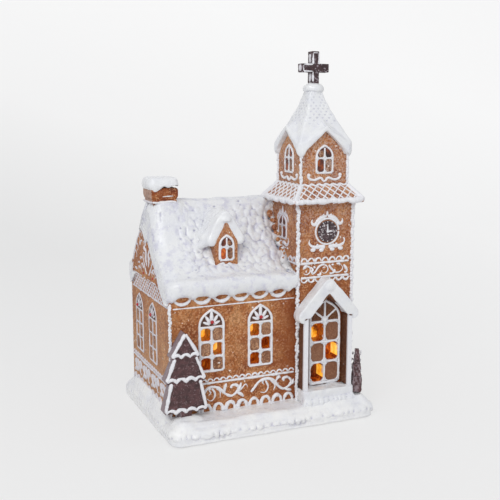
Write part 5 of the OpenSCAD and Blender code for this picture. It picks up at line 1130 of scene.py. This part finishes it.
def build_tower_icing():
    """Corner strips, bands, scrolls and side windows of the tower."""
    top = 189
    parts = rough_strip(TOWER_X0, TOWER_Y0, GROUND_Z, top, 1.7) + rough_strip(TOWER_X1, TOWER_Y0, 30, top, 1.7)
    piece("piped_tower_corners", parts + rough_strip(TOWER_X0, TOWER_Y1, 172, top, 2.0), "tower_corner_beads")
    parts = []
    for wall, u0, u1 in (("tower_front", TOWER_X0 + 2.6, TOWER_X1 - 2.6),
                         ("tower_right", TOWER_Y0 + 2.6, TOWER_Y1 - 2), ("tower_left", TOWER_Y0 + 2.6, -34)):
        parts += [line(u0, u1, 138.7, 2.3, 1.8, wall), line(u0, u1, 126, 2.2, 1.8, wall)]
        places, step = spread(u0, u1, 7.0)
        for cx in places:
            parts.append(tube(arc(cx, 139.4, step * 0.42, 0, 180, 1.25), 1.9, 1.6, wall, wobble=0.3))
            parts.append(tube(arc(cx, 125.3, step * 0.42, 180, 360, 1.15), 1.9, 1.6, wall, wobble=0.3))
    piece("piped_tower_bands", parts, "tower_scallops")

    bold, high, radius = 1.22, 1.65, 13.4
    crown = [(arc(CLOCK_X, CLOCK_Z, radius, 90, end, n=9), 3.0, "leaf") for end in (30, 150)]
    rays = []
    for angle, tip in ((62, 2.6), (76, 3.2), (90, 5.4), (104, 3.2), (118, 2.6)):
        t = math.radians(angle)
        ends = [(CLOCK_X + r * math.cos(t), CLOCK_Z + r * math.sin(t)) for r in (radius, radius + tip)]
        rays.append((ends, 3.0, "out"))
    wall = "tower_front"
    parts = piped(TOWER_FRIEZE + crown, wall, high, bold) + piped(rays, wall, 1.2 * high, bold)
    parts += piped(CLOCK_SCROLLS, wall, high, bold) + piped(CLOCK_SCROLLS, wall, high, bold, -1, CLOCK_X)
    piece("piped_tower_scrolls", parts, "tower_scrolls")

    parts = [part for wall, window in TOWER_WINDOWS.items() for part in small_window(*window, wall)]
    wall = left_plane(TOWER_X0, TOWER_WINDOWS["tower_left"][0])
    parts += piped(WINDOW_CROWN, wall, 2.9)
    parts += piped(WINDOW_SCROLLS, wall, 2.7, side=-1) + piped(WINDOW_SCROLLS, wall, 2.7)
    piece("piped_tower_windows", parts, "tower_window_icing")


def build_clock():
    """Rim, hour dots and hands."""
    wall = front_plane(TOWER_Y0, CLOCK_X, CLOCK_Z)
    parts = [tube(arc(0, 0, 11.2, 0, 360, 1, 49), 2.0, 1.7, wall)]
    for k in range(12):
        a = math.radians(30 * k)
        parts.append(dab(8.5 * math.sin(a), 8.5 * math.cos(a), 0.5, wall, 0.6, 1.0))
    piece("piped_clock_rim", parts, "clock_rim")
    parts = [straight((0, 0), end, 1.8, 1.1, wall, taper="out", lift=1.3) for end in ((0, 7.0), (5.4, 0.1))]
    piece("piped_clock_hands", parts + [dab(0, 0, 1.3, wall, 0.9, 1.2)], "clock_hands")


def build_skirt():
    """Heavy rim, hips and crossed lines on the four slopes between tower and belfry."""
    h, run, rise = SKIRT_HALF, SKIRT_HALF - BELFRY_HALF, SKIRT_Z1 - SKIRT_Z0
    slope = math.hypot(rise, run)
    rim, lattice = [], []
    for ux, uy in QUARTERS:
        nx, ny = uy, -ux
        wall = plane((TOWER_CX + nx * h, TOWER_CY + ny * h, SKIRT_Z0), (ux, uy, 0),
                     (nx * rise / slope, ny * rise / slope, run / slope),
                     (-nx * run / slope, -ny * run / slope, rise / slope))
        edge = [(u, -0.6 + 0.6 * math.sin(u * 0.45) + rng.uniform(-0.3, 0.3)) for u in np.linspace(-h, h, 14)]
        rim.append(tube(edge, 4.8, 2.5, wall, sink=0.3, wobble=0.2))
        for u in np.linspace(-h + 4, h - 4, 7):
            drop = [(u, -0.8), (u + rng.uniform(-0.6, 0.6), -1.9 - rng.uniform(0, 1.2))]
            rim.append(tube(drop, 4.6, 2.1, wall, "out"))
        for side in (-1, 1):
            hip = [(side * h, 0), (side * h * 0.84, slope * 0.5), (side * (BELFRY_HALF + 0.6), slope)]
            rim.append(tube(hip, 2.9, 2.2, wall))
        top = [(u, slope - 0.6 + 0.8 * math.sin(u * 0.9)) for u in np.linspace(-BELFRY_HALF, BELFRY_HALF, 24)]
        rim.append(tube(top, 2.3, 1.8, wall))
        for k in range(-7, 8):
            for lean in (-1, 1):
                pts = [(k * 7.6 + lean * s, s) for s in np.linspace(1.0, slope - 0.5, 8)]
                pts = [(x, y) for x, y in pts if abs(x) < h - run * y / slope - 0.6]
                if len(pts) > 2:
                    lattice.append(tube(pts, 1.35, 1.2, wall, curve=False, lift=0.2 * (lean > 0)))
    piece("piped_skirt_rim", rim, "skirt_icing")
    piece("piped_skirt_lattice", lattice, "skirt_lattice")


def build_belfry_icing():
    """Window, scroll under it and one corner strip on each side of the belfry."""
    windows, scrolls = [], []
    for wall in belfry_walls():
        windows += small_window(*BELFRY_WINDOW, wall)
        scrolls.append(tube([(-3.2, 211.6), (0, 209.4), (3.2, 211.6)], 2.2, 1.6, wall))
        for s in (-1, 1):
            wave = [(1, 210.4), (4, 212.2), (9, 210.6), (13, 211), (15.6, 213), (15.8, 215)]
            scrolls.append(tube([(s * u, v) for u, v in wave], 2.3, 1.7, wall))
            scrolls.append(dab(s * 15.3, 214.6, 1.7, wall, 1.5))
        x, y, _ = wall[0] + wall[1] * BELFRY_HALF
        scrolls += rough_strip(x, y, 207, 235, 1.35)
    piece("piped_belfry_windows", windows, "belfry_window_icing")
    piece("piped_belfry_scrolls", scrolls, "belfry_scrolls")


def rounded_loop(w, h, r):
    """Outline of a rectangle with round corners."""
    x, y, out = w / 2 - r, h / 2 - r, []
    for cx, cy, start in ((x, y, 0), (-x, y, 90), (-x, -y, 180), (x, -y, 270)):
        out += arc(cx, cy, r, start, start + 90, n=6)
    return out


def rings(u, v, w, h, wall, rows):
    """Rounded loops round (u, v): each row gives growth, depth behind the wall and corner radius."""
    origin, ua, n, va = wall_frame(wall)
    return [origin + ua * (u + x) + va * (v + y) - n * depth
            for grow, depth, r in rows for x, y in rounded_loop(w + 2 * grow, h + 2 * grow, r)]


def lit_box(u, v, w, h, r, wall, front, back, tones):
    """Open box behind a pane, with the painted glow of each face: sides, back and, if given, the right side."""
    skin = 0.5
    verts = rings(u, v, w, h, wall, [(0, front, r), (0, back, r), (skin, back + skin, r + skin),
                                     (skin, front, r + skin)])
    k = len(verts) // 4
    faces = [(a * k + i, a * k + (i + 1) % k, b * k + (i + 1) % k, b * k + i)
             for a, b in ((0, 1), (2, 3), (3, 0)) for i in range(k)]
    faces += [tuple(range(2 * k, 3 * k)), tuple(range(k, 2 * k))[::-1]]
    marks = [tones[0]] * (len(faces) - 1) + [tones[1]]
    if len(tones) > 2:
        marks[k - 1] = tones[2]
    return verts, faces, marks


def plate(u, v, w, h, r, wall, back, front):
    """Closed plate with softened edges, from depth back to depth front behind the wall."""
    bevel = 0.35
    verts = rings(u, v, w, h, wall, [(0, back, r), (0, front + bevel, r), (-bevel, front, r)])
    k = len(verts) // 3
    faces = [tuple(range(k)), tuple(range(2 * k, 3 * k))[::-1]]
    for a, b in ((0, 1), (1, 2)):
        faces += [(a * k + i, b * k + i, b * k + (i + 1) % k, a * k + (i + 1) % k) for i in range(k)]
    return verts, faces


def glass_piece(name, parts, materials, node=None):
    """A piece of parts that bring a tone for each face, the number of its material."""
    obj = piece(name, [(verts, faces) for verts, faces, _ in parts], node, materials[0], False)
    for material in materials[1:]:
        obj.data.materials.append(material)
    obj.data.polygons.foreach_set("material_index", [mark for _, _, marks in parts for mark in marks])


# painted glow standing in for the light of the LEDs inside, from the reveals to the brightest backs
GLOW_MATS = [MAT_REVEAL_GLOW, MAT["amber"], MAT_AMBER_DEEP, MAT_AMBER_DARK, MAT_STREAK]
REVEAL_GLOW, BRIGHT, DEEP, DARK, STREAK = range(5)


def build_panes():
    """Boxes of painted glow behind the open panes, baked plates in the closed ones, and dark plates as painted shade in
    the window heads.
    """
    boxes, plates, heads = [], [], []
    for wall, (centres, foot) in NAVE_WINDOWS.items():
        for number, cx in enumerate(centres):
            for row in range(3):
                for col in range(2):
                    side = (1 - col * 2) if wall == "back" else (col * 2 - 1)
                    u, v = cx + side * 5.65, foot + 7.3 + NAVE_PANE_ROW * row
                    if (row + col) % 2 == 0:
                        # the lowest row and one middle pane glow dimmer: painted falloff of the light inside
                        deep = row == 0 or (wall, number, row) == ("front", 1, 1)
                        tones = (REVEAL_GLOW, DEEP if deep else BRIGHT)
                        boxes.append(lit_box(u, v, 8.9, 10.8, 2.2, wall, 0.4, 10 if wall == "left" else 13.5, tones))
                    else:
                        plates.append(plate(u, v, 9.5, 11.4, 2.3, wall, 0.5, -0.45))
            # dark plate in the head: painted shade of the recess behind the fan
            heads.append(extruded(arch_loop(cx, foot + 40.6, 20.6, 1.0, 13.4), wall, -0.35, 0.5))
    glass_piece("lit_panes", boxes, GLOW_MATS, "nave_glazing")
    piece("sugar_panes", plates, None, MAT_TAUPE, False)
    piece("window_heads", heads, None, MAT_HEAD_SHADE, False)


def build_door():
    """Piped sash of the church door; three panes glow, the others and the fanlight are baked plates."""
    cx, wall, raised = DOOR_CX, "tower_front", 0.6
    parts = [tube(arch_outline(cx, 29.6, 29.2, 88.5, 105.0), 2.9, 3.0, wall, curve=False, lift=raised),
             straight((cx - 14.6, 29.8), (cx + 14.6, 29.8), 3.4, 3.0, wall, lift=raised),
             straight((cx, 29.5), (cx, 87), 2.5, 2.6, wall, lift=raised)]
    for row in range(3):
        z = 48.9 + DOOR_PANE_ROW * row
        parts.append(straight((cx - 14, z), (cx + 14, z), 2.6, 2.6, wall, lift=raised))
    for row in range(3):
        for x0, x1 in ((-13.2, -1.2), (1.2, 13.2)):
            z = 31.8 + DOOR_PANE_ROW * row
            parts += fillets(cx + x0, cx + x1, z, z + 15.9, 2.6, wall, 2.3)
    for a, reach in ((38, 16.0), (90, 17.5), (142, 16.0)):
        t = math.radians(a)
        tip = (cx + reach * math.cos(t), 87.5 + reach * math.sin(t))
        parts.append(straight((cx, 87.5), tip, 2.2, 2.4, wall, lift=raised))
    parts.append(dab(cx, 87.6, 3.6, wall, 2.6, raised))
    piece("piped_door", parts, "door_frame")
    boxes, plates = [], []
    # painted glow in three panes: a streaked, dim or dark back, and a bright right side on two of them
    lit = {(2, 0): (REVEAL_GLOW, STREAK), (1, 1): (REVEAL_GLOW, DEEP, BRIGHT), (0, 0): (REVEAL_GLOW, DARK, BRIGHT)}
    for row in range(3):
        for col in range(2):
            u, v = cx + (col * 2 - 1) * 7.2, 39.7 + DOOR_PANE_ROW * row
            if (row, col) in lit:
                boxes.append(lit_box(u, v, 12.0, 15.8, 2.6, wall, -1.0, 11, lit[row, col]))
            else:
                plates.append(plate(u, v, 13.0, 16.8, 2.6, wall, 0.6, -1.3))
    glass_piece("lit_door_panes", boxes, GLOW_MATS, "door_glazing")
    piece("door_plates", plates, None, MAT_TAUPE, False)
    head = extruded(arch_loop(cx, 84.8, 28.6, 3.7, 15.6), wall, -1.1, 0.6)
    piece("door_head", [head], None, MAT_PANE, False)


def small_panes(cx, foot, w, h, wall, tones):
    """Dark ground of a small window and four dim panes; their tones run from lower left to upper right."""
    spring, pw = foot + h * 0.56, w / 2 - 2.6
    ground = extruded(arch_loop(cx, foot + 0.8, w - 1.6, spring - foot - 0.8, foot + h - 1 - spring), wall, -0.15, 0.5)
    parts = [(*ground, [0] * len(ground[1]))]
    for k, tone in enumerate(tones):
        low, high, share = (foot + 2.0, spring - 1.5, 1.0) if k < 2 else (spring + 0.2, foot + h - 5.5, 0.78)
        u = cx + (pw / 2 + 0.95) * (1 if k % 2 else -1) * share
        verts, faces = plate(u, (low + high) / 2, pw * share, high - low, 1.2, wall, 0.3, -0.45)
        parts.append((verts, faces, [tone] * len(faces)))
    return parts


def build_small_glass():
    """Dim panes of belfry, tower and dormer, and the piped windows of dormer and back wall."""
    parts = []
    for wall in belfry_walls():
        parts += small_panes(*BELFRY_WINDOW, wall, (0, 2, 2, 0))
    for wall, tones in (("tower_left", (0, 2, 0, 0)), ("tower_right", (2, 0, 0, 0))):
        parts += small_panes(*TOWER_WINDOWS[wall], wall, tones)
    parts += small_panes(*DORMER_WINDOW, "dormer", (1, 2, 0, 2))
    # the dim panes carry a faint painted glow, varied from pane to pane
    glass_piece("dim_panes", parts, [MAT_AMBER_DARK, MAT_AMBER_DEEP, MAT_PANE])
    piece("piped_dormer_window", small_window(*DORMER_WINDOW, "dormer"), "dormer_window_icing")
    piece("piped_back_windows", nave_windows("back"), "back_window_icing")


def tiers(w, h, width):
    """Each tier of a tree: upper and lower end of its right edge, and the number of arcs of its hem."""
    for (x0, y0), (x1, y1) in (((0, 1.0), (0.33, 0.72)), ((0.24, 0.69), (0.46, 0.45)), ((0.33, 0.42), (0.5, 0.1))):
        top = (x0 * w, y0 * h + (2.4 if x0 else -1.0))
        yield top, (x1 * w - width * 0.3, y1 * h + width * 0.4), 4 if x1 > 0.4 else 3


def build_trees():
    """White outline and drooping hems on the front tree, flecks on the small one."""
    wall, h, width = front_plane(FRONT_TREE[1], FRONT_TREE[0], GROUND_Z), 75.2, 2.9
    parts = []
    for (x0, y0), (x1, y1), arcs in tiers(37.2, h, width):
        for s in (-1, 1):
            parts.append(straight((s * x0, y0), (s * x1, y1), width, width * 0.6, wall, wobble=0.2))
        hem = [(x1 * (2 * f - 1), y1 - 0.6 + h * 0.032 * abs(math.sin(math.pi * arcs * f)) ** 0.8)
               for f in np.linspace(0, 1, arcs * 8 + 1)]
        parts.append(tube(hem, width * 1.1, width * 0.6, wall, curve=False, wobble=0.25))
    piece("piped_front_tree", parts, "front_tree_icing")
    along = (math.cos(SIDE_TREE_ANGLE), math.sin(SIDE_TREE_ANGLE), 0)
    origin, u, n, v = plane((*SIDE_TREE, GROUND_Z), along, (along[1], -along[0], 0))
    parts = []
    for facing in (1, -1):
        face = (origin + n * 3.5 * facing, u, n * facing, v)
        for (x0, y0), (x1, y1), _ in tiers(19, 42, 1.9):
            for _ in range(4):
                f, side = rng.uniform(0.1, 1), rng.uniform(-1, 1)
                at = (side * (x0 + (x1 - x0) * f), y0 + (y1 - y0) * f)
                parts.append(dab(*at, rng.uniform(0.5, 1.0), face, 0.8))
    piece("piped_side_tree", parts, "side_tree_icing")


def build_cross_icing():
    """Icing run along the front edges of the cross, and white strips over the faces turned left: frost, and painted
    sheen of those faces.
    """
    front = front_plane(-30.3)
    x0, x1, arm, z0, z1, top = 52.4, 58.0, 43.3, 303.0, 308.8, 318.6
    edge = [(x0, 294), (x0, z0), (arm, z0), (arm, z1), (x0, z1), (x0, top), (x1, top), (x1, z1)]
    parts = [straight(p, q, 1.3, 0.8, front, wobble=0.5) for p, q in zip(edge, edge[1:])]
    # white strips over the left faces: frost, and painted sheen of the faces turned left
    for x, low, high in ((51.8, 293.5, 302.2), (51.8, 309.5, 318.8), (41.9, 302.8, 309.2)):
        face = left_plane(x)
        parts.append(straight((-26.1, low), (-26.1, high), 6.4, 0.9, face, wobble=0.15))
    piece("cross_icing", parts)


def build_chimney_icing():
    """Line round the chimney under its snow."""
    front = front_plane(CHIMNEY_Y)
    parts = [tube([(-85.6, 192), (-80, 191.6), (-70, 192.2), (-64, 191.8)], 1.7, 1.5, front, wobble=0.3),
             tube([(-2.4, 192), (8, 191.7), (21.6, 192)], 1.7, 1.5, "left", wobble=0.3),
             tube([(-77, 196.6), (-72, 196.9), (-66.5, 197)], 0.9, 1.0, front, "leaf", wobble=0.3)]
    piece("chimney_icing", parts)


def build_crumbs():
    """Baked crumbs that show through the broken edge of the roof's snow beside the tower."""
    draw = np.random.default_rng(23)
    apex_z, steepness = 195.6, 1.376
    crumbs = []
    for z in np.linspace(129, 182, 24):
        z += draw.uniform(-1.2, 1.2)
        y = RIDGE_Y - (apex_z - z) / steepness + draw.uniform(0.2, 3.0)
        x, size = draw.uniform(24.2, 28.0), draw.uniform(1.0, 2.6)
        v, f = blob((x, y, z), (size * 1.2, size, size * 1.3), 7, 9)
        v = np.array(v)
        crumbs.append((v + 0.3 * value_noise(v, 1.6, 12)[:, None], f))
    piece("bread_crumbs", crumbs, None, MAT["gingerbread"])


def cad_materials():
    """The slot's material on every CAD piece, which shows where nothing replaces it."""
    for subpart in frame["record"]["subparts"]:
        materials = NODES[subpart["node"]].data.materials
        materials.clear()
        materials.append(MAT[subpart["material_slot"]])
    NODES["clock_dial"].data.materials[0] = MAT_DIAL


def build_stage():
    """Paper sweep that rises behind the part, its glow brighter up and to the right as painted light falloff, a pale
    world and three soft lamps.
    """
    m = Maker("studio_paper")
    tone = m.mix(m.ramp(m.noise(400, 2), (0.4, 0.0), (0.6, 0.15)), "e8e8e8", "eeeeee")
    diffuse = m.new("BsdfDiffuse", Color=tone)
    # painted light falloff: the glow the camera sees brightens upwards and to the right
    rise = m.times(m.math("ADD", m.axis("Z"), m.times(m.axis("X"), 0.35)), 1.3, True)
    glow = m.new("Emission", Color=m.ramp(rise, (0.0, "e3e3e3"), (0.4, "f4f4f4"), (1.0, "fdfdfd")), Strength=1.15)
    path, mixer = m.new("LightPath"), m.new("MixShader")
    seen = m.math("MAXIMUM", path.outputs["Is Camera Ray"], path.outputs["Is Glossy Ray"])
    seen = m.math("MAXIMUM", seen, path.outputs["Is Transmission Ray"])
    m.put(mixer.inputs[0], m.times(seen, 0.7))
    m.put(mixer.inputs[1], diffuse.outputs[0])
    m.put(mixer.inputs[2], glow.outputs[0])
    paper = m.surface(mixer.outputs[0])
    bend = [(900 + 700 * math.sin(a), 700 - 700 * math.cos(a)) for a in np.linspace(0, math.pi / 2, 16)]
    profile = [(-2500, 0)] + bend + [(1600, 2600)]
    verts = [(x, y, z - 0.02) for x in (-3500, 3500) for y, z in profile]
    n = len(profile)
    faces = [(i, i + 1, n + i + 1, n + i) for i in range(n - 1)]
    mesh_object("studio_sweep", verts, faces, paper)
    world = bpy.data.worlds.new("studio")
    bpy.context.scene.world = world
    world.use_nodes = True
    background = world.node_tree.nodes["Background"].inputs
    background["Color"].default_value = lin("f2f3f5")
    background["Strength"].default_value = 0.6
    for name, where, size, power, aim in (
        ("key", (-700, -880, 950), 800, 7.6, (0, 0, 120)),
        ("fill", (700, -1100, 600), 1000, 1.4, (0, 0, 120)),
        ("top", (0, 100, 1400), 1200, 1.2, (0, 0, 100)),
    ):
        data = bpy.data.lights.new(name, "AREA")
        data.size = size * MM
        data.energy = power
        lamp = bpy.data.objects.new(name, data)
        bpy.context.scene.collection.objects.link(lamp)
        lamp.location = Vector(where) * MM
        lamp.rotation_euler = (Vector(aim) - Vector(where)).to_track_quat("-Z", "Y").to_euler()


def build_camera():
    """The camera solved from the straight edges in the photograph."""
    data = bpy.data.cameras.new("camera")
    data.lens = 58.37
    data.sensor_width = 36
    data.clip_start, data.clip_end = 0.01, 20
    cam = bpy.data.objects.new("camera", data)
    bpy.context.scene.collection.objects.link(cam)
    eye, target = Vector((-281.0, -667.6, 267.6)), Vector((4.71, -2.92, 145.11))
    cam.location = eye * MM
    cam.rotation_euler = (target - eye).to_track_quat("-Z", "Y").to_euler()
    bpy.context.scene.camera = cam
    bpy.context.scene.view_settings.view_transform = "Standard"


cad_materials()
build_snow()
build_bread()
build_nave_icing()
build_tower_icing()
build_clock()
build_skirt()
build_belfry_icing()
build_panes()
build_door()
build_small_glass()
build_trees()
build_cross_icing()
build_chimney_icing()
build_crumbs()
build_stage()
build_camera()
